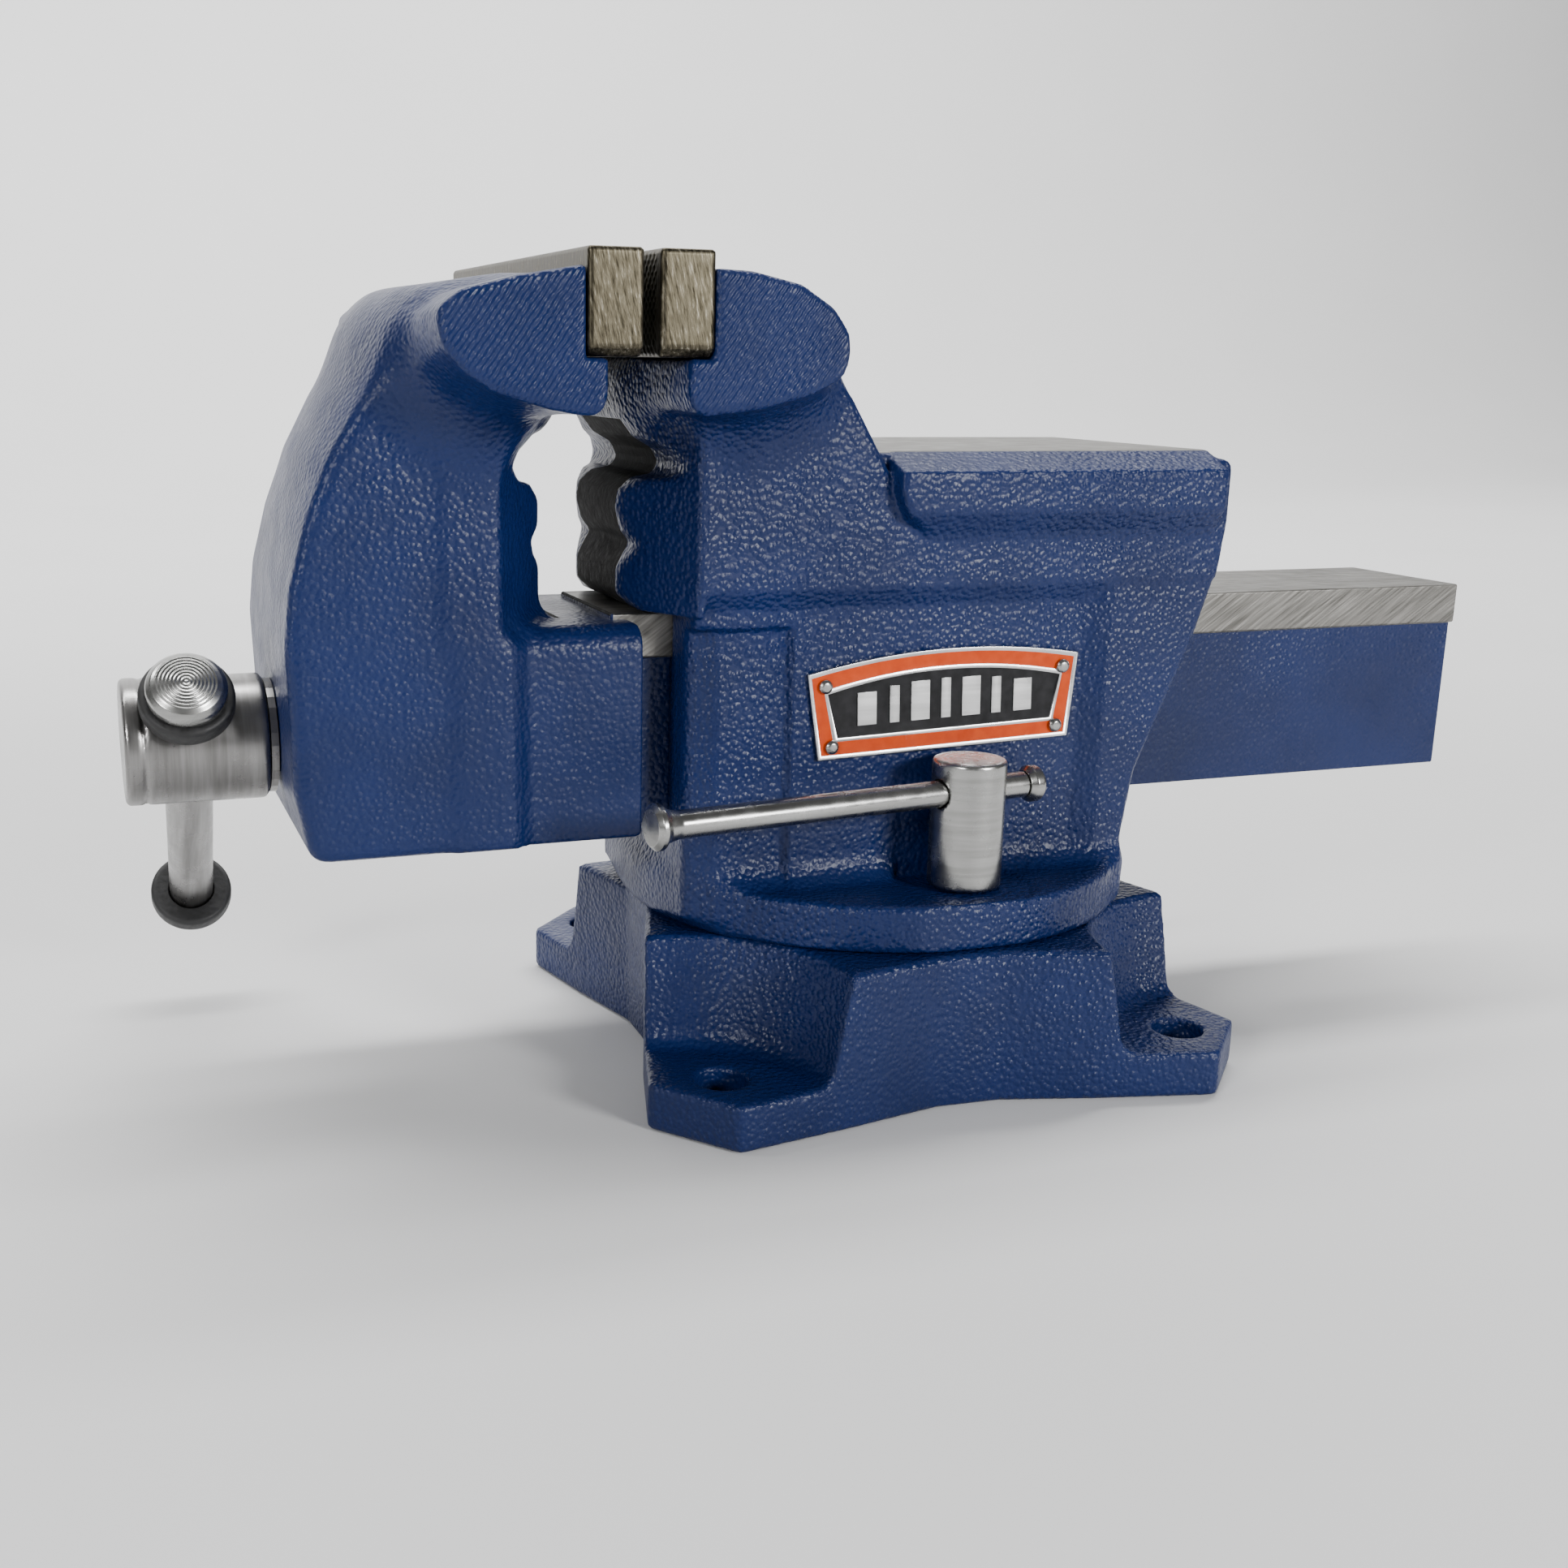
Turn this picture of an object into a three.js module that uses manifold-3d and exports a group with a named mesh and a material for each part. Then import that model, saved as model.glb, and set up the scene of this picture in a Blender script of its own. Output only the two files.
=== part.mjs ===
// A swivel-base bench vise with pipe jaws and an anvil, in millimetres, +Z up.
// X runs along the slide: the spindle head is at -X and the tail of the slide at +X.
// The origin is on the swivel axis, at the underside of the base.

import * as THREE from "three";
import { mergeVertices } from "three/addons/utils/BufferGeometryUtils.js";
import Module from "manifold-3d";

const wasm = await Module();
wasm.setup();

// ---------------------------------------------------------------- driving dimensions

const GAP = 0.3; // between pieces that touch on the real vise
const RUN = 0.4; // between the slide and the channel it runs in

const BASE_H = 47.2; // top of the swivel base
const LUG_H = 14.4; // thickness of the four bolting lugs
const BASE_TURN = -2.4; // how far the base is turned from square, degrees
const BOLT_AT = 74.8; // half the side of the square of bolt holes
const BOLT_HOLE_R = 7.6;
const SWIVEL_R = 60.7; // circle that the two lock-down bolts run on
const SLOT_TOP_W = 13; // mouth of the ring-shaped T slot
const SLOT_UNDER_W = 25;
const SLOT_FLOOR = 24;
const SLOT_LIP = 36;
const SCALLOP_AT = 89; // centre of the round scallop over each lug, from both middle planes
const SCALLOP_R = [42, 48]; // its radius at the lug's top and at the base's top

const DISC_R = 80.5;
const DISC_Z0 = 47.5;
const DISC_Z1 = 62;

const FLANGE_HALF = 26.45; // machined top flange of the slide
const FLANGE_Z0 = 129;
const FLANGE_Z1 = 142.2;
const WEB_HALF = 24.5;
const SLIDE_Z0 = 78.7;
const SLIDE_TAIL = 209.4;
const CHANNEL_HALF = 16.5; // hollow underside of the slide, where the screw lies
const CHANNEL_ROOF = 124;
const NECK_HALF = 39.5;
const NECK_END = -91.4;

const AXIS_Z = 106.9; // spindle axis
const HEAD_R = 18;
const HEAD_X0 = -233;
const SHANK_R = 11;
const SCREW_R = 11;
const SCREW_END = 128;
const WALL_FRONT = -191.2; // front face of the moving jaw on the spindle axis
const WALL_BACK = -166;

const BLOCK_HALF = 43; // half width of the moving jaw
const BODY_HALF = 50; // half width of the vise body
const FRONT_X = -79; // front face of the vise body
const PANEL_HALF = 46.4; // recessed panel behind the nameplate
const STRIP_HALF = 44; // deeper recess beside it
const PIPE_HALF = 20; // half width of the toothed pipe jaws

const PLATE_HALF = 76.2; // half width of the jaw plates
const PLATE_T = 14.5;
const PLATE_Z0 = 213.8;
const PLATE_Z1 = 240.25;
const FRONT_PLATE_X = -104.6; // gripping face of the moving jaw plate
const REAR_PLATE_X = -100.1;
const SEAT_Z = PLATE_Z0 - GAP;
const EAR_TOP = 235.8;
const EAR_BLEND = 20; // depth over which an ear's underside drops away from the gap
const SCREW_AT = 48; // jaw plate screws, either side of the middle

const ANVIL_Z = 189;
const ANVIL_HALF = 44.1;
const WING_HALF = 56;

const LOCK_X = 3;
const LOCK_R = 11;
const LOCK_BOLT_R = 5.5;
const LOCK_SOCKET = 21; // length of the nut above the end of its thread
const LOCK_TOP = 101;
const LOCK_BAR_Z = 91;
const LOCK_BAR_R = 4;
const LOCK_BAR_FAR = 105; // from the nut's axis to the flared end
const LOCK_BAR_NEAR = 27; // and to the end of the cap
const LOCK_BAR_AIM = 7.6; // how far the bar stands off from the body, degrees

const HANDLE_X = -215;
const HANDLE_TILT = 41; // slope of the bar, degrees
const HANDLE_LEAN = 2; // how far it leans out of square with the spindle, degrees
const HANDLE_R = 7;
const RING_R = 13;
const RING_T = 6.5;
const KNOB_R = 11;
const KNOB_T = 6.5;
const HANDLE_NEAR = 18.6; // from the spindle axis to the inner face of the upper ring
const HANDLE_FAR = 102;

const PLATE_W = 90; // nameplate, along its upper edge
const PLATE_H = 30.4;
const PLATE_TILT = 2; // degrees that it is fixed out of level
const RIVET_R = 2.2;

// ---------------------------------------------------------------- materials

const paint = { color: 0x17448f, roughness: 0.38, metalness: 0.05 };
const steel = { color: 0x8f8b84, roughness: 0.35, metalness: 0.95 };
const darkSteel = { color: 0x5d574c, roughness: 0.45, metalness: 0.9 };
const chrome = { color: 0xc9c9c6, roughness: 0.2, metalness: 1 };
const rubber = { color: 0x17181a, roughness: 0.75, metalness: 0 };
const enamel = { color: 0xd8501b, roughness: 0.4, metalness: 0.2 };

const vise = new THREE.Group();

// ---------------------------------------------------------------- solids

function solid(geometry) {
  const g = geometry.clone();
  g.deleteAttribute("normal");
  g.deleteAttribute("uv");
  const merged = mergeVertices(g, 1e-4);
  const vertProperties = new Float32Array(merged.attributes.position.array);
  const triVerts = new Uint32Array(merged.index.array);
  return new wasm.Manifold(new wasm.Mesh({ numProp: 3, vertProperties, triVerts }));
}

function geometryOf(shape) {
  const m = shape.getMesh();
  const g = new THREE.BufferGeometry();
  g.setAttribute("position", new THREE.BufferAttribute(new Float32Array(m.vertProperties), 3));
  g.setIndex(new THREE.BufferAttribute(new Uint32Array(m.triVerts), 1));
  g.computeVertexNormals();
  return g;
}

const join = (...shapes) => shapes.reduce((a, b) => a.add(b));
const cut = (shape, ...tools) => tools.reduce((a, b) => a.subtract(b), shape);

function add(name, shape, finish, parent = vise) {
  const geometry = shape.isBufferGeometry ? shape : geometryOf(shape);
  const mesh = new THREE.Mesh(geometry, new THREE.MeshStandardMaterial(finish));
  mesh.name = name;
  parent.add(mesh);
  return mesh;
}

const outlineOf = (points) => new THREE.Shape(points.map(([a, b]) => new THREE.Vector2(a, b)));

// An outline pushed along +Z, with the number of slices that a later bend needs.
function extrude(points, depth, steps = 1) {
  return new THREE.ExtrudeGeometry(outlineOf(points), { depth, steps, bevelEnabled: false });
}

const prismZ = (points, z0, z1) => solid(extrude(points, z1 - z0).translate(0, 0, z0));

// An outline in (x, z) that runs from y0 to y1, and one in (y, z) that runs from x0 to x1.
function prismY(points, y0, y1, steps = 1) {
  return extrude(points, y1 - y0, steps).rotateX(Math.PI / 2).translate(0, y1, 0);
}

function prismX(points, x0, x1) {
  const turn = new THREE.Matrix4().makeBasis(
    new THREE.Vector3(0, 1, 0),
    new THREE.Vector3(0, 0, 1),
    new THREE.Vector3(1, 0, 0),
  );
  return extrude(points, x1 - x0).applyMatrix4(turn).translate(x0, 0, 0);
}

function block(x0, x1, y0, y1, z0, z1) {
  const g = new THREE.BoxGeometry(x1 - x0, y1 - y0, z1 - z0);
  return solid(g.translate((x0 + x1) / 2, (y0 + y1) / 2, (z0 + z1) / 2));
}

// A turned piece: its profile is [radius, height] from one end of the axis to the other.
function turned(profile, sides = 28) {
  const points = profile.map(([r, h]) => new THREE.Vector2(r, h));
  return new THREE.LatheGeometry(points, sides);
}

const alongZ = (g, x, y) => g.rotateX(Math.PI / 2).translate(x, y, 0);
const alongX = (g, z) => g.rotateZ(-Math.PI / 2).translate(0, 0, z);

function rodZ(r, z0, z1, x = 0, y = 0, sides = 28) {
  const g = new THREE.CylinderGeometry(r, r, z1 - z0, sides).translate(0, (z0 + z1) / 2, 0);
  return solid(alongZ(g, x, y));
}

function rodX(r, x0, x1, y = 0, z = AXIS_Z, sides = 28) {
  const g = new THREE.CylinderGeometry(r, r, x1 - x0, sides).translate(0, (x0 + x1) / 2, 0);
  return solid(alongX(g, z).translate(0, y, 0));
}

const smooth = (points, count) =>
  new THREE.SplineCurve(points.map(([a, b]) => new THREE.Vector2(a, b)))
    .getPoints(count)
    .map((p) => [p.x, p.y]);

// ---------------------------------------------------------------- swivel base

// A quarter of the plan: half of the front wall, which bends outwards to the lug, the lug's
// chamfered tip, and half of the side wall.
const BASE_QUARTER = [[10, -82], [40, -89], [76, -96.2], [96.2, -73], [88, -40], [79, -10]];

function basePlan() {
  const flip = (points, sx, sy) => points.map(([x, y]) => [x * sx, y * sy]);
  return [
    ...BASE_QUARTER,
    ...flip(BASE_QUARTER, 1, -1).reverse(),
    ...flip(BASE_QUARTER, -1, -1),
    ...flip(BASE_QUARTER, -1, 1).reverse(),
  ];
}

function swivelBase() {
  let base = prismZ(basePlan(), 0, BASE_H);
  for (const sx of [-1, 1]) {
    for (const sy of [-1, 1]) {
      const [low, high] = SCALLOP_R;
      const profile = [[0, LUG_H], [low, LUG_H], [high, BASE_H + 1], [0, BASE_H + 1]];
      const scallop = alongZ(turned(profile, 48), SCALLOP_AT * sx, SCALLOP_AT * sy);
      base = base.subtract(solid(scallop));
      base = base.subtract(rodZ(BOLT_HOLE_R, -1, LUG_H + 1, BOLT_AT * sx, BOLT_AT * sy, 24));
    }
  }
  const ring = (half, z0, z1) => {
    const inner = SWIVEL_R - half;
    const outer = SWIVEL_R + half;
    const profile = [[inner, z0], [outer, z0], [outer, z1], [inner, z1], [inner, z0]];
    return solid(turned(profile, 48).rotateX(Math.PI / 2));
  };
  base = base.subtract(ring(SLOT_TOP_W / 2, SLOT_LIP - 1, BASE_H + 1));
  base = base.subtract(ring(SLOT_UNDER_W / 2, SLOT_FLOOR, SLOT_LIP));
  return base.rotate([0, 0, BASE_TURN]);
}

add("swivel_base", swivelBase(), paint);

// ---------------------------------------------------------------- vise body

// Toothed faces of the two pipe jaws, from under the jaws down to the slide, as (x, z).
const REAR_TEETH = smooth(
  [
    [-92, 198], [-89, 192], [-83.4, 188.8], [-81.3, 184.5], [-83.4, 181.6], [-89.5, 180.5],
    [-93.4, 177], [-94.3, 172], [-92.6, 165.5], [-89.8, 162], [-92, 158.4], [-94, 154.5], [-94, 147.5],
    [-89, 143.1],
  ],
  40,
);
const FRONT_TEETH = smooth(
  [
    [-114.3, 196], [-121, 193.4], [-127, 189.4], [-128.6, 184.6], [-125, 180.4], [-120.4, 179.2],
    [-116, 174], [-116.4, 167.5], [-119.9, 163.3], [-119, 159.6], [-115.8, 155], [-115, 145],
  ],
  36,
);

const DISC_REAR = 63.5; // foot of the body's sloping rear edge
const STRIP_END = -48.5; // the deep recess runs from the front face to here
const STRIP_TOP = 138;

function bodyShell() {
  const rearEdge = [[DISC_REAR, 55], [64.5, 62], [68.7, 90], [86.5, 132], [91.5, 152]];
  const lower = [[FRONT_X, 55], ...rearEdge, [FRONT_X, 152]];
  const upper = [
    [FRONT_X, 151.9], [91.5, 151.9], [95, 168], [95, 184], [92.5, 186.5], [85, 186.5], [85, 170], [-14, 170],
    [-22, 184], [-26, 191], [-29, 196], [-33.6, 203.6], [-37.5, 208], [FRONT_X, 208],
  ];
  const disc = rodZ(DISC_R, DISC_Z0, DISC_Z1, 0, 0, 64);
  const walls = solid(prismY(lower, -PANEL_HALF, PANEL_HALF));
  const top = solid(prismY(upper, -BODY_HALF, BODY_HALF));
  const shoulder = solid(prismX([
    [-PANEL_HALF, 143], [PANEL_HALF, 143], [BODY_HALF, 152], [-BODY_HALF, 152],
  ], FRONT_X, 91));
  const rearWall = solid(prismY([
    [55, 58], [64, 58], [68.7, 90], [86.5, 132], [91.5, 152], [55, 152],
  ], -49.3, 49.3));
  const body = join(disc, walls, top, shoulder, rearWall);
  const strip = (y0, y1) => block(FRONT_X - 1, STRIP_END, y0, y1, DISC_Z1, STRIP_TOP);
  return cut(body, strip(-60, -STRIP_HALF), strip(STRIP_HALF, 60));
}

// The anvil: a flat-topped block whose sides flare out into wings.
function anvil() {
  const section = [
    [-50, 160], [50, 160], [50, 165], [WING_HALF, 174.5], [WING_HALF, 183.5], [ANVIL_HALF, ANVIL_Z],
    [-ANVIL_HALF, ANVIL_Z], [-WING_HALF, 183.5], [-WING_HALF, 174.5], [-50, 165],
  ];
  const wings = cut(
    solid(prismX(section, -20, 91)),
    solid(prismY([[-21, 178], [-21, 159], [-6, 159], [-10, 165.5], [-17, 170.5]], -60, 60)),
  );
  const nose = block(-40, -19.9, -46, 46, 165, 188.5);
  return join(wings, nose);
}

// An ear of a jaw: a rounded outline at its end that grows towards the middle of the jaw, on
// the side away from the gap only. away is +1 when that side looks to +X.
function ears(outline, seatX, away, middleGrow, bottomDrop, halfNeck) {
  const steps = 16;
  const g = prismY(outline, -PLATE_HALF, PLATE_HALF, steps);
  const p = g.attributes.position;
  for (let i = 0; i < p.count; i++) {
    const y = Math.abs(p.getY(i));
    const t = 1 - y / PLATE_HALF;
    const nearNeck = Math.min(1, (PLATE_HALF - y) / (PLATE_HALF - halfNeck));
    const out = Math.max(0, (p.getX(i) - seatX) * away);
    const drop = EAR_TOP - p.getZ(i);
    const lower = bottomDrop * nearNeck * nearNeck * Math.min(1, out / EAR_BLEND);
    p.setX(i, p.getX(i) + away * out * middleGrow * t);
    p.setZ(i, EAR_TOP - drop * (1 + lower));
  }
  return solid(g);
}

const REAR_SEAT_X = REAR_PLATE_X + PLATE_T + GAP;
const REAR_FACE_X = -92; // casting under the jaw plate
const REAR_EAR = [
  [REAR_FACE_X, 198.6],
  ...smooth([
    [-72.1, 201.1], [-58.5, 204.7], [-48.9, 209.5], [-47.3, 215.7], [-48, 220.8],
    [-52.4, 226.8], [-61.7, 232.5], [-75.3, 235.4],
  ], 12),
  [REAR_SEAT_X, EAR_TOP],
  [REAR_SEAT_X, SEAT_Z],
  [REAR_FACE_X, SEAT_Z],
];

// The jaw's neck in plan: it narrows from the casting's full width to the pipe jaw's teeth.
const wedge = (wide, narrow, half) => [
  [narrow, -PIPE_HALF],
  [wide, -half],
  [wide + (wide > narrow ? 60 : -60), -half],
  [wide + (wide > narrow ? 60 : -60), half],
  [wide, half],
  [narrow, PIPE_HALF],
];

function rearJaw() {
  const behind = [
    [FRONT_X - 1, 143.1], [FRONT_X - 1, 153], [-40, 153], [-40, 208], [REAR_FACE_X, 208],
  ];
  const profile = [...REAR_TEETH, ...behind].reverse();
  const teeth = solid(prismY(profile, -BODY_HALF, BODY_HALF));
  const plan = wedge(FRONT_X, -95, BODY_HALF).reverse();
  const neck = teeth.intersect(prismZ(plan, 130, 215));
  const head = ears(REAR_EAR, REAR_SEAT_X, 1, 0.32, 0.35, BODY_HALF);
  return join(neck, head);
}

function slideTunnel() {
  const f = FLANGE_HALF + RUN;
  const w = WEB_HALF + RUN;
  const outline = [
    [-w, SLIDE_Z0 - RUN], [w, SLIDE_Z0 - RUN], [w, FLANGE_Z0 - RUN], [f, FLANGE_Z0 - RUN],
    [f, FLANGE_Z1 + RUN], [-f, FLANGE_Z1 + RUN], [-f, FLANGE_Z0 - RUN], [-w, FLANGE_Z0 - RUN],
  ];
  return solid(prismX(outline, -130, 130));
}

const NUT_X0 = -60;
const NUT_X1 = -12;
const NUT_X = (NUT_X0 + NUT_X1) / 2;
const NUT_BOLT_R = 6;

function plateScrewHole(faceX, seatX, side) {
  const y = SCREW_AT * side;
  const z = (PLATE_Z0 + PLATE_Z1) / 2;
  const [a, b] = faceX < seatX ? [seatX - 1, seatX + 18] : [seatX - 18, seatX + 1];
  return rodX(4.3, a, b, y, z, 16);
}

function viseBody() {
  const whole = join(bodyShell(), anvil(), rearJaw());
  const lockHole = (s) => rodZ(LOCK_BOLT_R + GAP, 40, DISC_Z1 + 1, LOCK_X, s * SWIVEL_R, 20);
  const lockHoles = [-1, 1].map(lockHole);
  const screwHoles = [-1, 1].map((s) => plateScrewHole(REAR_PLATE_X, REAR_SEAT_X, s));
  const nutHole = rodZ(NUT_BOLT_R + GAP, DISC_Z0 - 1, SLIDE_Z0 + 1, NUT_X, 0, 20);
  const nutHead = rodZ(11, DISC_Z0 - 1, DISC_Z0 + 8, NUT_X, 0, 24);
  return cut(whole, slideTunnel(), ...lockHoles, ...screwHoles, nutHole, nutHead);
}

add("vise_body", viseBody(), paint);

// ---------------------------------------------------------------- jaw plates and their screws

function jawPlate(x0, x1) {
  const c = 2.5;
  const outline = [
    [-PLATE_HALF + c, PLATE_Z0], [PLATE_HALF - c, PLATE_Z0], [PLATE_HALF, PLATE_Z0 + c],
    [PLATE_HALF, PLATE_Z1], [-PLATE_HALF, PLATE_Z1], [-PLATE_HALF, PLATE_Z0 + c],
  ];
  return solid(prismX(outline, x0, x1));
}

// grip is the side that the gripping face looks to: +1 for +X.
function plateWithScrews(name, faceX, grip) {
  const z = (PLATE_Z0 + PLATE_Z1) / 2;
  const back = faceX - grip * PLATE_T;
  let plate = jawPlate(Math.min(faceX, back), Math.max(faceX, back));
  [-1, 1].forEach((side, i) => {
    const y = side * SCREW_AT;
    const sorted = (a, b) => [Math.min(a, b), Math.max(a, b)];
    const [h0, h1] = sorted(faceX + grip, faceX - grip * 9);
    const [s0, s1] = sorted(faceX, back - grip);
    plate = cut(plate, rodX(7, h0, h1, y, z, 24), rodX(4.3, s0, s1, y, z, 16));
    const [a0, a1] = sorted(faceX - grip * 1.2, faceX - grip * (9 - GAP));
    const [b0, b1] = sorted(faceX - grip * 8, back - grip * 15);
    const socket = new THREE.CylinderGeometry(3.4, 3.4, 5, 6).translate(0, faceX - grip * 2, 0);
    const screw = cut(
      join(rodX(6.6, a0, a1, y, z, 24), rodX(4, b0, b1, y, z, 16)),
      solid(alongX(socket, z).translate(0, y, 0)),
    );
    add(`${name}_screw_${i + 1}`, screw, darkSteel);
  });
  add(name, plate, darkSteel);
}

plateWithScrews("rear_jaw_plate", REAR_PLATE_X, -1);
plateWithScrews("front_jaw_plate", FRONT_PLATE_X, 1);

// ---------------------------------------------------------------- moving jaw and slide

const FRONT_SEAT_X = FRONT_PLATE_X - PLATE_T - GAP;
const FRONT_FACE_X = -113.7;
const FRONT_EAR = [
  [FRONT_FACE_X, SEAT_Z],
  [FRONT_SEAT_X, SEAT_Z],
  [FRONT_SEAT_X, EAR_TOP],
  ...smooth([
    [-136.6, 232.8], [-150.6, 229.2], [-156.4, 224.8], [-156.7, 220.6], [-155.3, 215],
    [-150, 209.4], [-143, 205], [-128.6, 200.8],
  ], 12),
  [FRONT_FACE_X, 198.3],
];

function movingJaw() {
  const front = smooth([
    [-158.5, 217.5], [-169.5, 202], [-178.7, 187], [-185.6, 170], [-190.3, 153], [-192, 138],
    [WALL_FRONT, 116],
  ], 10);
  const side = [
    [-133.7, 142.5], [-129.6, 138], [-129.3, SLIDE_Z0], [-187.4, SLIDE_Z0], [WALL_FRONT + 2, 96],
    [WALL_FRONT, 98], ...front.reverse(), [-152, 226], [-133.7, 226],
  ];
  const blockSolid = solid(prismY(side.reverse(), -BLOCK_HALF, BLOCK_HALF));
  const toothProfile = [
    ...FRONT_TEETH, [FRONT_FACE_X, 141], [-150, 138], [-150, 205], [FRONT_FACE_X, 205],
  ];
  const teeth = solid(prismY(toothProfile, -BLOCK_HALF, BLOCK_HALF));
  const plan = wedge(-134, -117, BLOCK_HALF);
  const pipe = teeth.intersect(prismZ(plan, 138, 215));
  const neck = block(-140, NECK_END, -NECK_HALF, NECK_HALF, SLIDE_Z0, 140.5);
  const ear = ears(FRONT_EAR, FRONT_SEAT_X, -1, 0.16, 0.35, BLOCK_HALF);
  const slide = join(
    block(NECK_END - 5, SLIDE_TAIL, -FLANGE_HALF, FLANGE_HALF, FLANGE_Z0, FLANGE_Z1),
    block(NECK_END - 5, SLIDE_TAIL - 1, -WEB_HALF, WEB_HALF, SLIDE_Z0, FLANGE_Z0 + 1),
  );
  const whole = join(blockSolid, pipe, neck, ear, slide);
  const channel = block(
    WALL_BACK, SLIDE_TAIL + 1, -CHANNEL_HALF, CHANNEL_HALF, SLIDE_Z0 - 1, CHANNEL_ROOF,
  );
  const bore = join(rodX(SHANK_R + GAP, -215, WALL_BACK + 1), rodX(HEAD_R + 1, -215, WALL_FRONT));
  const screwHoles = [-1, 1].map((s) => plateScrewHole(FRONT_PLATE_X, FRONT_SEAT_X, s));
  return cut(whole, channel, bore, ...screwHoles);
}

add("moving_jaw", movingJaw(), paint);

// ---------------------------------------------------------------- screw, nut and thrust parts

const MAIN_NUT_HALF = 15;

function mainNut() {
  const [foot, top] = [SLIDE_Z0 - RUN + GAP, AXIS_Z + MAIN_NUT_HALF];
  const nut = block(NUT_X0, NUT_X1, -MAIN_NUT_HALF, MAIN_NUT_HALF, foot, top);
  const bore = rodX(SCREW_R + GAP, NUT_X0 - 1, NUT_X1 + 1);
  const tapped = rodZ(NUT_BOLT_R + GAP, SLIDE_Z0 - 5, 94, NUT_X, 0, 20);
  return cut(nut, bore, tapped);
}

add("main_nut", mainNut(), { color: 0x6f6a62, roughness: 0.6, metalness: 0.8 });

const nutBolt = join(
  rodZ(NUT_BOLT_R, DISC_Z0 + 6, 92, NUT_X, 0, 20),
  rodZ(10, DISC_Z0 + 0.6, DISC_Z0 + 7.5, NUT_X, 0, 6),
);
add("nut_bolt", nutBolt, darkSteel);

const handleTilt = THREE.MathUtils.degToRad(HANDLE_TILT);

// Turns a piece made along +Y into the bar's own direction, from the upper end to the lower.
function alongHandle(g) {
  const lean = Math.sin(THREE.MathUtils.degToRad(HANDLE_LEAN));
  const down = new THREE.Vector3(lean, Math.cos(handleTilt), -Math.sin(handleTilt)).normalize();
  const q = new THREE.Quaternion().setFromUnitVectors(new THREE.Vector3(0, 1, 0), down);
  return g.applyQuaternion(q).translate(HANDLE_X, 0, AXIS_Z);
}

const SPINDLE_BACK = WALL_FRONT - 2.6; // where the head meets the thrust washer

function spindle() {
  const profile = [
    [0, HEAD_X0], [HEAD_R - 2.5, HEAD_X0], [HEAD_R, HEAD_X0 + 2.5], [HEAD_R, SPINDLE_BACK],
    [SHANK_R, SPINDLE_BACK], [SHANK_R, SCREW_END - 2], [SHANK_R - 2, SCREW_END], [0, SCREW_END],
  ];
  const body = solid(alongX(turned(profile, 32), AXIS_Z));
  const eye = new THREE.CylinderGeometry(HANDLE_R + GAP, HANDLE_R + GAP, 60, 24);
  const pinHole = rodZ(2.3, AXIS_Z - 20, AXIS_Z + 20, COLLAR_X, 0, 12);
  return cut(body, solid(alongHandle(eye)), pinHole);
}

const COLLAR_X = -140;
const COLLAR_HALF = 6;
const COLLAR_R = 15.2;
const SPRING_R = 13.2;

function hollowRodX(inner, outer, x0, x1) {
  return cut(rodX(outer, x0, x1), rodX(inner, x0 - 1, x1 + 1));
}

add("spindle", spindle(), steel);
add("thrust_washer", hollowRodX(SHANK_R + GAP, 16.5, WALL_FRONT - 2.3, WALL_FRONT - GAP), steel);

// The spring holds the collar off the inside of the jaw, so the jaw follows the screw back.
function returnSpring() {
  const turns = 4;
  const x0 = WALL_BACK + 2;
  const x1 = COLLAR_X - COLLAR_HALF - 2;
  const points = [];
  for (let i = 0; i <= turns * 12; i++) {
    const a = (i / 12) * 2 * Math.PI;
    const x = x0 + ((x1 - x0) * i) / (turns * 12);
    points.push(new THREE.Vector3(x, SPRING_R * Math.cos(a), AXIS_Z + SPRING_R * Math.sin(a)));
  }
  const wire = outlineOf(Array.from({ length: 6 }, (_, i) => {
    const a = (i * Math.PI) / 3;
    return [1.4 * Math.cos(a), 1.4 * Math.sin(a)];
  }));
  const extrudePath = new THREE.CatmullRomCurve3(points);
  return new THREE.ExtrudeGeometry(wire, { steps: turns * 12, extrudePath, bevelEnabled: false });
}

add("return_spring", returnSpring(), steel);

const pinBore = rodZ(2.3, AXIS_Z - 20, AXIS_Z + 20, COLLAR_X, 0, 12);
const collarRing = hollowRodX(SHANK_R + GAP, COLLAR_R, COLLAR_X - COLLAR_HALF, COLLAR_X + COLLAR_HALF);
add("retaining_collar", cut(collarRing, pinBore), steel);
add("collar_pin", rodZ(2, AXIS_Z - COLLAR_R - 0.4, AXIS_Z + COLLAR_R + 0.4, COLLAR_X, 0, 12), steel);

// ---------------------------------------------------------------- handle

function handlePiece(name, profile, finish, sides = 28) {
  add(name, solid(alongHandle(turned(profile, sides))), finish);
}

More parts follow.
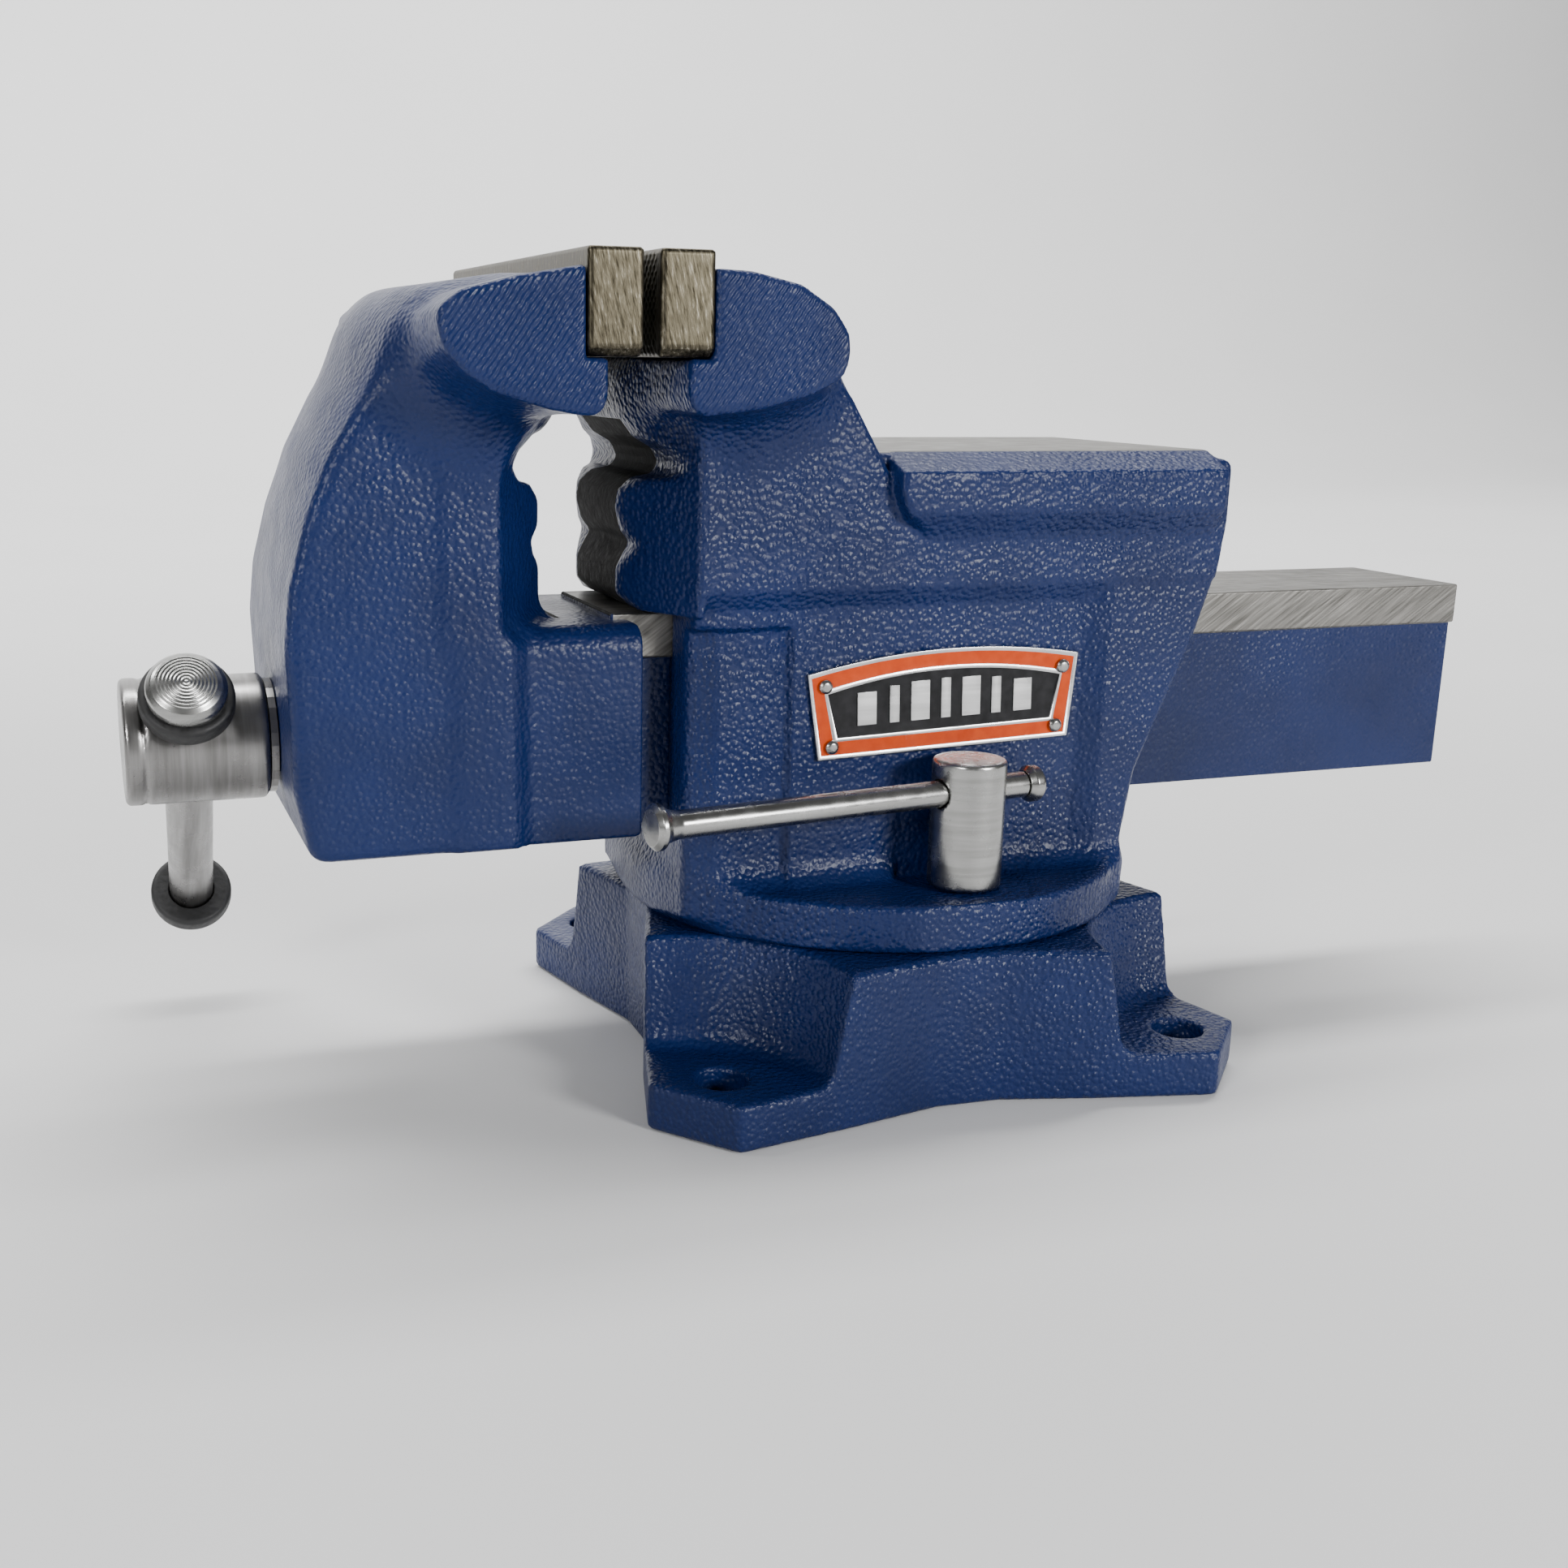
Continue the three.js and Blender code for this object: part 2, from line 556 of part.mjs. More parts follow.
// The two ends repeat: side -1 is the upper end and +1 the lower one.
function handleEnd(label, side, inner) {
  const at = (d) => side * (inner + d);
  const order = (profile) => (side > 0 ? profile : profile.slice().reverse());
  const bore = HANDLE_R + GAP;
  const ring = [
    [bore, at(0)], [RING_R - 2, at(0)], [RING_R, at(2)], [RING_R, at(RING_T - 2)],
    [RING_R - 2, at(RING_T)], [bore, at(RING_T)], [bore, at(0)],
  ];
  handlePiece(`handle_ring_${label}`, order(ring), rubber);
  const k = RING_T + GAP;
  const knob = [
    [0, at(k)], [KNOB_R - 1, at(k)], [KNOB_R, at(k + 1)], [KNOB_R, at(k + 3)],
    [KNOB_R - 1.5, at(k + 5.6)], [KNOB_R - 4, at(k + KNOB_T)], [0, at(k + KNOB_T)],
  ];
  handlePiece(`handle_knob_${label}`, order(knob), chrome);
}

const [BAR_A, BAR_B] = [-(HANDLE_NEAR + RING_T), HANDLE_FAR + RING_T];
handlePiece("handle_bar", [[0, BAR_A], [HANDLE_R, BAR_A], [HANDLE_R, BAR_B], [0, BAR_B]], steel);
handleEnd("upper", -1, HANDLE_NEAR);
handleEnd("lower", 1, HANDLE_FAR);

// ---------------------------------------------------------------- lock-down bolts and nuts

// side -1 is the nameplate side of the body and +1 the far side.
function lockDown(label, side) {
  const y = side * SWIVEL_R;
  const rod = (r, z0, z1, sides = 24) => rodZ(r, z0, z1, LOCK_X, y, sides);
  add(`lock_bolt_${label}`, join(
    rod(LOCK_BOLT_R, SLOT_LIP - 4, LOCK_TOP - LOCK_SOCKET - 1),
    rod(9, SLOT_FLOOR + 1.5, SLOT_LIP - 1, 6),
  ), darkSteel);
  const aim = new THREE.Group();
  aim.position.set(LOCK_X, y, 0);
  aim.rotation.z = THREE.MathUtils.degToRad(LOCK_BAR_AIM) + (side < 0 ? 0 : Math.PI);
  vise.add(aim);
  const cross = (r, x0, x1) => rodX(r, x0, x1, 0, LOCK_BAR_Z, 20);
  const foot = DISC_Z1 + GAP;
  const shell = solid(turned([
    [0, foot], [LOCK_R, foot], [LOCK_R, LOCK_TOP - 1], [LOCK_R - 1, LOCK_TOP], [0, LOCK_TOP],
  ], 32).rotateX(Math.PI / 2));
  const thread = rodZ(LOCK_BOLT_R + GAP, DISC_Z1, LOCK_TOP - LOCK_SOCKET);
  const nut = cut(shell, thread, cross(LOCK_BAR_R + GAP, -20, 20));
  add(`lock_nut_${label}`, nut, chrome, aim);
  const bar = alongX(turned([
    [0, -LOCK_BAR_FAR], [6.2, -LOCK_BAR_FAR], [6.6, -LOCK_BAR_FAR + 1], [LOCK_BAR_R, -LOCK_BAR_FAR + 7],
    [LOCK_BAR_R, LOCK_BAR_NEAR - 7], [0, LOCK_BAR_NEAR - 7],
  ], 20), LOCK_BAR_Z);
  add(`lock_bar_${label}`, solid(bar), chrome, aim);
  const capFoot = LOCK_BAR_NEAR - 7 + GAP;
  const cap = alongX(turned([
    [0, capFoot], [5.6, capFoot], [5.6, LOCK_BAR_NEAR - 1.5], [4, LOCK_BAR_NEAR], [0, LOCK_BAR_NEAR],
  ], 20), LOCK_BAR_Z);
  add(`lock_bar_cap_${label}`, solid(cap), chrome, aim);
}

lockDown("front", -1);
lockDown("rear", 1);

// ---------------------------------------------------------------- nameplate

const NAME_X = 1.7;
const NAME_Z = 101.2;
const NAME_Y = -PANEL_HALF - GAP;
const NAME_RISE = 4.5; // arch of its upper edge
const NAME_CORNER = 3; // how far the lower corners are cut in
const NAME_T = 1;

// A point of the plate, measured from the middle of its lower edge, as (x, z) on the body.
function onPlate([a, b]) {
  const tilt = THREE.MathUtils.degToRad(PLATE_TILT);
  const [c, s] = [Math.cos(tilt), Math.sin(tilt)];
  return [NAME_X + a * c - b * s, NAME_Z + a * s + b * c];
}

function nameplate() {
  const w = PLATE_W / 2;
  const points = [[-w + NAME_CORNER, 0], [w - NAME_CORNER, 0]];
  for (const t of [1, 0.5, 0, -0.5, -1]) {
    points.push([w * t, PLATE_H - NAME_RISE * t * t]);
  }
  return solid(prismY(points.map(onPlate), NAME_Y - NAME_T, NAME_Y));
}

let plate = nameplate();
const RIVETS = [[-37.5, 3.8], [37.5, 3.8], [-39.5, 22], [39.5, 22]];
RIVETS.forEach((place, i) => {
  const [x, z] = onPlate(place);
  const across = (r, y0, y1) =>
    solid(new THREE.CylinderGeometry(r, r, y1 - y0, 10).translate(x, (y0 + y1) / 2, z));
  const face = NAME_Y - NAME_T;
  const ball = solid(new THREE.SphereGeometry(RIVET_R, 12, 8).scale(1, 0.6, 1).translate(x, face - GAP, z));
  const dome = ball.subtract(across(RIVET_R + 1, face - GAP, face + 3));
  plate = plate.subtract(across(1.2, face - 1, NAME_Y + 1));
  add(`nameplate_rivet_${i + 1}`, join(dome, across(0.9, face - GAP - 0.5, NAME_Y)), chrome);
});
add("nameplate", plate, enamel);

export default vise;
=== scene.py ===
"""A blue cast-iron bench vise on a swivel base, with pipe jaws, an anvil and steel jaw plates.

Lengths in this script are millimetres unless a name says otherwise; meshes are scaled to metres as
they are made. X runs along the slide, +Z is up, and the swivel axis stands at the origin.
The three castings are signed-distance solids, so their edges and inner corners are rounded the way
sand castings are. Everything turned or rolled is a turned mesh.
"""

import math

import bmesh
import bpy
import numpy as np
import openvdb
from mathutils import Matrix, Vector


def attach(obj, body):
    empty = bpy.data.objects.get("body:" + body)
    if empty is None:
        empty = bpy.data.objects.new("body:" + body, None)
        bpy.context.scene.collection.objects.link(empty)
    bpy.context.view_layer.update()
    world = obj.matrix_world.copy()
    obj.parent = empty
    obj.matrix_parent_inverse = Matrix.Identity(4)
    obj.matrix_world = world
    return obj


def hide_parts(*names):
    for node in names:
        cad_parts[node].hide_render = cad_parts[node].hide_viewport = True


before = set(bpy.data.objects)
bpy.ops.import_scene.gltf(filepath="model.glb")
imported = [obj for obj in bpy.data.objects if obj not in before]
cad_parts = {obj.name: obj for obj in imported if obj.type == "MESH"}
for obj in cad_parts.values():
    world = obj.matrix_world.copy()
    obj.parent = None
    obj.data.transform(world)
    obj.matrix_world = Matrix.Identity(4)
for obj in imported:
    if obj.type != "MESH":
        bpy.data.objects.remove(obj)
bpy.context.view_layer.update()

MM = 0.001

# ------------------------------------------------------------------ dimensions

BASE_H = 47.2
LUG_H = 14.4
BASE_TURN = math.radians(-2.4)
BOLT_AT = 74.8
BOLT_HOLE_R = 7.6
SCALLOP_AT = 89.0
SCALLOP_R = (42.0, 48.0)  # at the lug's top and at the base's top
SWIVEL_R = 60.7
SLOT_HALF = 6.5  # T slot for the lock-down bolts: its mouth, then its wider foot
SLOT_MOUTH_Z = 35.0
SLOT_FOOT_HALF = 12.5
SLOT_FOOT_Z = (24.0, 36.0)
DISC_R = 80.5
DISC_Z = (47.5, 62.0)

FLANGE_HALF = 26.45
FLANGE_Z = (129.0, 142.2)
WEB_HALF = 24.5
SLIDE_Z0 = 78.7
SLIDE_TAIL = 209.4
CHANNEL_HALF = 16.5
CHANNEL_ROOF = 124.0
RUN = 0.4  # running clearance round the slide
NECK_HALF = 39.5
NECK_END = -91.4
NECK_TOP = 140.5

AXIS_Z = 106.9
HEAD_R = 18.0
HEAD_X0 = -233.0
SHANK_R = 11.0
SCREW_END = 128.0
THREAD_PITCH = 5.0
WALL_FRONT = -191.2
WALL_BACK = -166.0

BLOCK_HALF = 43.0
BODY_HALF = 50.0
FRONT_X = -79.0
PANEL_HALF = 46.4
STRIP_HALF = 44.0
REAR_HALF = 49.3
REAR_SLOPE_X = 47.0
REAR_SLOPE_RUN = 8.5
CHAMFER_Z = 144.5
CHAMFER_H = 6.0
PIPE_HALF = 20.0

PLATE_HALF = 76.2
PLATE_T = 14.5
PLATE_Z = (213.8, 240.25)
FRONT_PLATE_X = -104.6
REAR_PLATE_X = -100.1
SEAT_Z = 213.5
EAR_TOP = 235.8
SCREW_AT = 48.0
FRONT_SEAT_X = FRONT_PLATE_X - PLATE_T - 0.3
REAR_SEAT_X = REAR_PLATE_X + PLATE_T + 0.3
FRONT_FACE_X = -113.7
REAR_FACE_X = -92.0

ANVIL_Z = 189.0
ANVIL_HALF = 44.1
WING_HALF = 56.0
WING_X = (-19.9, 89.0)
WING_EDGE = 0.5

LOCK_X = 3.0
LOCK_R = 11.0
LOCK_TOP = 101.0
LOCK_BAR_Z = 91.0
LOCK_BAR_R = 4.0
LOCK_BAR_FAR = 105.0
LOCK_BAR_NEAR = 27.0
LOCK_BAR_AIM = math.radians(7.6)
LOCK_WELL_R = 21.0  # the flat round the nut's foot
LOCK_WELL_TOP = 84.0
LOCK_BOLT_HOLE_R = 5.8

NUT_X = -36.0
NUT_BOLT_HOLE_R = 6.3
NUT_BOLT_HEAD_R = 11.0
FIT = 0.3  # gap between pieces that fit together

HANDLE_X = -215.0
HANDLE_TILT = math.radians(41)
HANDLE_LEAN = math.sin(math.radians(2))
HANDLE_R = 7.0
RING_R = 13.0
RING_T = 6.5
KNOB_R = 11.0
KNOB_T = 6.5
HANDLE_NEAR = 18.6
HANDLE_FAR = 102.0

NAME_X = 1.7
NAME_Z = 101.2
NAME_Y = -46.7
NAME_W = 90.0
NAME_H = 30.4
NAME_TILT = math.radians(2)
NAME_RISE = 4.5
NAME_T = 1.0
NAME_FIELD_Z = 9.5
NAME_BAR_TOP = 21.5
NAME_BARS = ((-26, 6), (-17, 3), (-8.5, 6), (0, 3), (8.5, 6), (17, 3), (26, 6))  # middle, width
RIVETS = ((-37.5, 3.8), (37.5, 3.8), (-39.5, 22), (39.5, 22))

# ------------------------------------------------------------------ signed-distance tools


def polygon(points, u, v):
    """Signed distance in a plane to a closed outline: below zero inside."""
    nearest = np.float32(1e12)
    inside = False
    for (au, av), (bu, bv) in zip(points, points[1:] + points[:1]):
        eu, ev = bu - au, bv - av
        if eu == 0 and ev == 0:
            continue
        wu, wv = u - np.float32(au), v - np.float32(av)
        t = np.clip((wu * eu + wv * ev) / (eu * eu + ev * ev), 0, 1)
        nearest = np.minimum(nearest, (wu - eu * t) ** 2 + (wv - ev * t) ** 2)
        if ev != 0:
            inside = inside ^ (((av > v) != (bv > v)) & (u < au + wv * (eu / ev)))
    return np.where(inside, -1, 1).astype(np.float32) * np.sqrt(nearest)


def eased(points, radius, closed=True):
    """The outline with its corners eased to that radius; a corner (a, b, r) has its own."""
    n = len(points)
    result = []
    for i, p in enumerate(points):
        r = p[2] if len(p) > 2 else radius
        if r == 0 or (not closed and i in (0, n - 1)):
            result.append((p[0], p[1]))
            continue
        here = Vector(p[:2])
        before, after = Vector(points[i - 1][:2]) - here, Vector(points[(i + 1) % n][:2]) - here
        half = before.angle(after, math.pi) / 2
        reach = min(r / max(math.tan(half), 1e-3), 0.48 * before.length, 0.48 * after.length)
        start, end = here + before.normalized() * reach, here + after.normalized() * reach
        for t in (0, 0.25, 0.5, 0.75, 1):
            q = start * (1 - t) ** 2 + here * 2 * t * (1 - t) + end * t**2
            result.append((q.x, q.y))
    return result


def meet(a, b, r):
    """Where both are solid, with the edge rounded to radius r."""
    return np.minimum(np.maximum(a, b), -r) + np.hypot(np.maximum(a + r, 0), np.maximum(b + r, 0))


def fillet(a, b, r):
    """Both together, with a hollow of radius r along the inner corner."""
    return np.maximum(np.minimum(a, b), r) - np.hypot(np.maximum(r - a, 0), np.maximum(r - b, 0))


def carve(a, b, r):
    """The first without the second, with the edge rounded to radius r."""
    return meet(a, -b, r)


def between(value, low, high):
    """Below zero where the value lies between the two limits."""
    return np.abs(value - (low + high) / 2) - (high - low) / 2


def ramp(value, start, end):
    """0 before start, 1 after end, and a soft rise between."""
    t = np.clip((value - start) / (end - start), 0, 1)
    return t * t * (3 - 2 * t)


def axes(low, high, step):
    """The three coordinates of a grid over that box, shaped so that they combine into it."""
    lines = [np.arange(a - 2 * step, b + 2 * step, step, dtype=np.float32) for a, b in zip(low, high)]
    return lines[0][:, None, None], lines[1][None, :, None], lines[2][None, None, :]


def meshed(field, grid):
    """Vertices and faces of the surface where the field is zero."""
    x, y, z = grid
    step = float(x[1, 0, 0] - x[0, 0, 0])
    shape = (x.shape[0], y.shape[1], z.shape[2])
    band = 3 * step
    values = np.clip(np.broadcast_to(field, shape), -band, band).astype(np.float32)
    volume = openvdb.FloatGrid(band)
    volume.copyFromArray(np.ascontiguousarray(values))
    volume.transform = openvdb.createLinearTransform(voxelSize=step)
    points, triangles, quads = volume.convertToPolygons(0.0, 0.0)
    corner = np.array([x[0, 0, 0], y[0, 0, 0], z[0, 0, 0]], np.float64)
    faces = [tuple(f[::-1]) for f in triangles.tolist()] + [tuple(f[::-1]) for f in quads.tolist()]
    return np.asarray(points, np.float64) + corner, faces


# ------------------------------------------------------------------ turned and prism meshes


def frame_along(origin, axis):
    """A matrix that takes local +Z to the axis and the local origin to a point."""
    turn = Vector((0, 0, 1)).rotation_difference(Vector(axis)).to_matrix().to_4x4()
    return Matrix.Translation(Vector(origin)) @ turn


def turned(profile, origin, axis, sides=96, soften=0.5):
    """A turned solid whose profile is (radius, height) from one end of its axis to the other."""
    rings = eased(profile, soften, closed=False)
    place = frame_along(origin, axis)
    points, faces, rows = [], [], []
    for r, h in rings:
        count = 1 if r < 1e-6 else sides
        rows.append((len(points), count))
        for k in range(count):
            a = 2 * math.pi * k / sides
            points.append(place @ Vector((r * math.cos(a), r * math.sin(a), h)))
    for (a, na), (b, nb) in zip(rows, rows[1:]):
        for k in range(sides):
            j = (k + 1) % sides
            face = [a + k % na, a + j % na, b + j % nb, b + k % nb]
            faces.append(tuple(dict.fromkeys(face)))
    return np.array(points, float), [f for f in faces if len(f) > 2]


def bored(profile, origin, axis, sides=96, soften=0.5):
    """A turned ring: its profile is a closed outline in (radius, height)."""
    rings = eased(profile, soften)
    place = frame_along(origin, axis)
    n = len(rings)
    angles = [2 * math.pi * k / sides for k in range(sides)]
    points = [place @ Vector((r * math.cos(a), r * math.sin(a), h)) for r, h in rings for a in angles]
    faces = []
    for i in range(n):
        row, following = i * sides, (i + 1) % n * sides
        for k in range(sides):
            j = (k + 1) % sides
            faces.append((row + k, row + j, following + j, following + k))
    return np.array(points, float), faces


def prism_x(outline, x0, x1, bevel):
    """An outline in (y, z) pushed from x0 to x1, with bevelled edges."""
    bm = bmesh.new()
    ends = [[bm.verts.new((x, y, z)) for y, z in outline] for x in (x0, x1)]
    n = len(outline)
    for i in range(n):
        j = (i + 1) % n
        bm.faces.new((ends[0][i], ends[0][j], ends[1][j], ends[1][i]))
    bm.faces.new(ends[0][::-1])
    bm.faces.new(ends[1])
    bmesh.ops.recalc_face_normals(bm, faces=bm.faces)
    bmesh.ops.bevel(bm, geom=list(bm.edges), offset=bevel, segments=3, profile=0.5, affect="EDGES")
    bmesh.ops.triangulate(bm, faces=[f for f in bm.faces if len(f.verts) > 4])
    bm.verts.index_update()
    points = np.array([v.co[:] for v in bm.verts], float)
    faces = [tuple(v.index for v in f.verts) for f in bm.faces]
    bm.free()
    return points, faces


# ------------------------------------------------------------------ castings

REAR_TEETH = [
    (-92, 198), (-89, 192), (-83.4, 188.8), (-81.3, 184.5), (-83.4, 181.6), (-89.5, 180.5),
    (-93.4, 177), (-94.3, 172), (-92.6, 165.5), (-89.8, 162), (-92, 158.4), (-94, 154.5),
    (-94, 147.5), (-89, 143.1),
]
FRONT_TEETH = [
    (-114.3, 196), (-121, 193.4), (-127, 189.4), (-128.6, 184.6), (-125, 180.4), (-120.4, 179.2),
    (-116, 174), (-116.4, 167.5), (-119.9, 163.3), (-119, 159.6), (-115.8, 155), (-115, 145),
]
REAR_EAR = [
    (REAR_FACE_X, 198.6), (-72.1, 201.1), (-58.5, 204.7), (-48.9, 209.5), (-47.3, 215.7),
    (-48, 220.8), (-52.4, 226.8), (-61.7, 232.5), (-75.3, 235.4), (REAR_SEAT_X, EAR_TOP, 0.8),
    (REAR_SEAT_X, SEAT_Z, 0), (REAR_FACE_X, SEAT_Z, 0.8),
]
FRONT_EAR = [
    (FRONT_FACE_X, SEAT_Z, 0.8), (FRONT_SEAT_X, SEAT_Z, 0), (FRONT_SEAT_X, EAR_TOP, 0.8),
    (-136.6, 232.8), (-150.6, 229.2), (-156.4, 224.8), (-156.7, 220.6), (-155.3, 215),
    (-150, 209.4), (-143, 205), (-128.6, 200.8), (FRONT_FACE_X, 198.3),
]
JAW_FRONT = [
    (-158.5, 217.5), (-169.5, 202), (-178.7, 187), (-185.6, 170), (-190.3, 153), (-192, 138),
    (WALL_FRONT, 116), (WALL_FRONT, 98), (-189.2, 90), (-187.4, SLIDE_Z0),
]
BASE_QUARTER = [(10, -82), (40, -89), (76, -96.2, 3), (96.2, -73, 3), (88, -40), (79, -10)]


def smooth_curve(points, radius=6):
    """An outline with generously eased corners, except where a point has a radius of its own."""
    return eased([p if len(p) > 2 else (*p, radius) for p in points], radius)


def ear(grid, outline, seat, away, grow, drop, neck):
    """The long head of a jaw: it grows deeper and lower towards the middle, away from the gap."""
    x, y, z = grid
    off = np.abs(y)
    t = np.clip(1 - off / PLATE_HALF, 0, 1)
    near = np.clip((PLATE_HALF - off) / (PLATE_HALF - neck), 0, 1)
    out = np.maximum((x - seat) * away, 0)
    flat_x = np.where(out > 0, seat + away * out / (1 + grow * t), x)
    lower = drop * near**2 * np.minimum(out / 20, 1)
    flat_z = EAR_TOP - (EAR_TOP - z) / (1 + lower)
    return meet(polygon(smooth_curve(outline), flat_x, flat_z), off - PLATE_HALF, 1.2)


def with_ear(body, grid, reach, radius, *ear_arguments):
    """The casting joined to its ear, worked out only between x0 and x1 and above z0 of reach."""
    x, y, z = grid
    x0, x1, z0 = reach
    rows = (x[:, 0, 0] >= x0) & (x[:, 0, 0] <= x1)
    layers = z[0, 0, :] >= z0
    part = (x[rows], y, z[:, :, layers])
    where = np.ix_(rows, np.ones(y.shape[1], bool), layers)
    body[where] = fillet(body[where], ear(part, *ear_arguments), radius)
    return body


def wedge(grid, wide, narrow, half, far):
    """Plan of a pipe jaw: it narrows from the casting's width to the teeth."""
    x, y, _ = grid
    outline = [
        (narrow, -PIPE_HALF), (wide, -half), (far, -half), (far, half), (wide, half), (narrow, PIPE_HALF),
    ]
    return polygon(eased(outline, 1.5), x, y)


def swivel_base():
    """Four lugs round a scalloped boss, with the T slot that the lock-down bolts run in."""
    grid = axes((-101, -101, 0), (101, 101, BASE_H), 1.15)
    px, py, z = grid
    c, s = math.cos(-BASE_TURN), math.sin(-BASE_TURN)
    x, y = px * c - py * s, px * s + py * c
    corner = [(*p, 14) if len(p) == 2 else p for p in BASE_QUARTER]

    def flipped(sx, sy):
        return [(a * sx, b * sy, r) for a, b, r in corner]

    plan = flipped(1, 1) + flipped(1, -1)[::-1] + flipped(-1, -1) + flipped(-1, 1)[::-1]
    solid = meet(polygon(eased(plan, 14), x, y), between(z, 0, BASE_H), 1.8)
    up = np.clip((z - LUG_H) / (BASE_H - LUG_H), 0, 1)
    scallop_r = SCALLOP_R[0] + (SCALLOP_R[1] - SCALLOP_R[0]) * up
    ax, ay = np.abs(x), np.abs(y)
    scallop = meet(np.hypot(ax - SCALLOP_AT, ay - SCALLOP_AT) - scallop_r, LUG_H - z, 5)
    solid = carve(solid, scallop, 1.4)
    hole = np.hypot(ax - BOLT_AT, (ay - BOLT_AT) * 0.95) - BOLT_HOLE_R
    solid = carve(solid, hole, 0.9)
    ring = np.abs(np.hypot(px, py) - SWIVEL_R)
    mouth = np.maximum(ring - SLOT_HALF, SLOT_MOUTH_Z - z)
    foot = np.maximum(ring - SLOT_FOOT_HALF, between(z, *SLOT_FOOT_Z))
    solid = carve(carve(solid, mouth, 0.6), foot, 0.6)
    return meshed(solid, grid)


def side_wall(x, z):
    """Half width of the vise body: panel, deeper strip, corner chamfer, rear and upper walls."""
    upper = (BODY_HALF - PANEL_HALF) * np.clip((z - CHAMFER_Z) / CHAMFER_H, 0, 1)
    rear = (REAR_HALF - PANEL_HALF) * np.clip((x - REAR_SLOPE_X) / REAR_SLOPE_RUN, 0, 1)
    below = 1 - ramp(z, 138, 140)
    strip = (PANEL_HALF - STRIP_HALF) * (1 - ramp(x, -50, -48)) * below
    corner = 0.6 * np.clip(-71 - x, 0, 10) * below
    return PANEL_HALF + np.maximum(upper, rear) - strip - corner


def vise_body():
    """Walls on the swivel disc, the anvil's wings, the rear pipe jaw and ear, and the slide's tunnel."""
    grid = axes((-96, -PLATE_HALF, DISC_Z[0]), (96, PLATE_HALF, EAR_TOP), 1.0)
    x, y, z = grid
    off = np.abs(y)
    outline = eased([
        (FRONT_X, 52, 0), (63.5, 52, 0), (64.5, 62), (68.7, 90, 20), (86.5, 132, 20), (93, 152, 20),
        (95, 168, 6), (95, 186.5, 4), (86, 186.5, 0), (84, 170, 0), (-12, 170, 6), (-17.5, 176),
        (-22, 184.4), (-26, 191), (-29, 196), (-33.6, 203.6), (-37.5, 208), (-44, 216, 0),
        (FRONT_X, 216, 0),
    ], 5)
    walls = meet(polygon(outline, x, z), off - side_wall(x, z), 2.2)
    disc = meet(np.hypot(x, y) - DISC_R, between(z, *DISC_Z), 2)
    solid = fillet(walls, disc, 8)
    from_lock = np.hypot(x - LOCK_X, off - SWIVEL_R)
    well = np.maximum(from_lock - LOCK_WELL_R, PANEL_HALF - off)
    well = meet(well, between(z, DISC_Z[1] - 0.3, LOCK_WELL_TOP), 1)
    solid = carve(solid, well, 1.2)

    section = polygon([
        (-42, 161), (42, 161), (50, 164), (WING_HALF, 172), (WING_HALF, 183.5), (ANVIL_HALF, ANVIL_Z),
        (-ANVIL_HALF, ANVIL_Z), (-WING_HALF, 183.5), (-WING_HALF, 172), (-50, 164),
    ], y, z)
    wings = meet(section + WING_EDGE, between(x, *WING_X), 1) - WING_EDGE
    slant = polygon([(-40, 140), (-4, 158), (-10.3, 165.7), (-17, 170.4), (-20.4, 177), (-40, 190)], x, z)
    wings = carve(wings, slant, 1.5)
    bridge = meet(meet(off - 46, between(x, -45, -19), 1), between(z, 160, 188.6), 1.5)
    wings = np.minimum(wings, bridge)
    solid = fillet(solid, wings, 1.2)

    teeth = polygon(eased([
        *REAR_TEETH, (FRONT_X + 2, 143.1, 0), (FRONT_X + 6, 208, 0), (REAR_FACE_X, 208, 0),
    ], 1.5), x, z)
    pipe = meet(teeth, wedge(grid, FRONT_X, -95, BODY_HALF, -60), 1.2)
    solid = fillet(solid, pipe, 1.5)
    reach = (-96, -10, 180)
    solid = with_ear(solid, grid, reach, 9, REAR_EAR, REAR_SEAT_X, 1, 0.32, 0.35, BODY_HALF)

    f, w = FLANGE_HALF + RUN, WEB_HALF + RUN
    tunnel = np.minimum(
        np.maximum(off - f, between(z, FLANGE_Z[0] - RUN, FLANGE_Z[1] + RUN)),
        np.maximum(off - w, between(z, SLIDE_Z0 - RUN, FLANGE_Z[1])),
    )
    solid = carve(solid, tunnel, 0.8)
    from_nut = np.hypot(x - NUT_X, y)
    lock_hole = np.maximum(from_lock - LOCK_BOLT_HOLE_R, z - 63)
    nut_hole = np.maximum(from_nut - NUT_BOLT_HOLE_R, z - 80)
    head_hole = np.maximum(from_nut - NUT_BOLT_HEAD_R, z - 55.5)
    for hole in (lock_hole, nut_hole, head_hole):
        solid = carve(solid, hole, 0.4)
    return meshed(solid, grid)


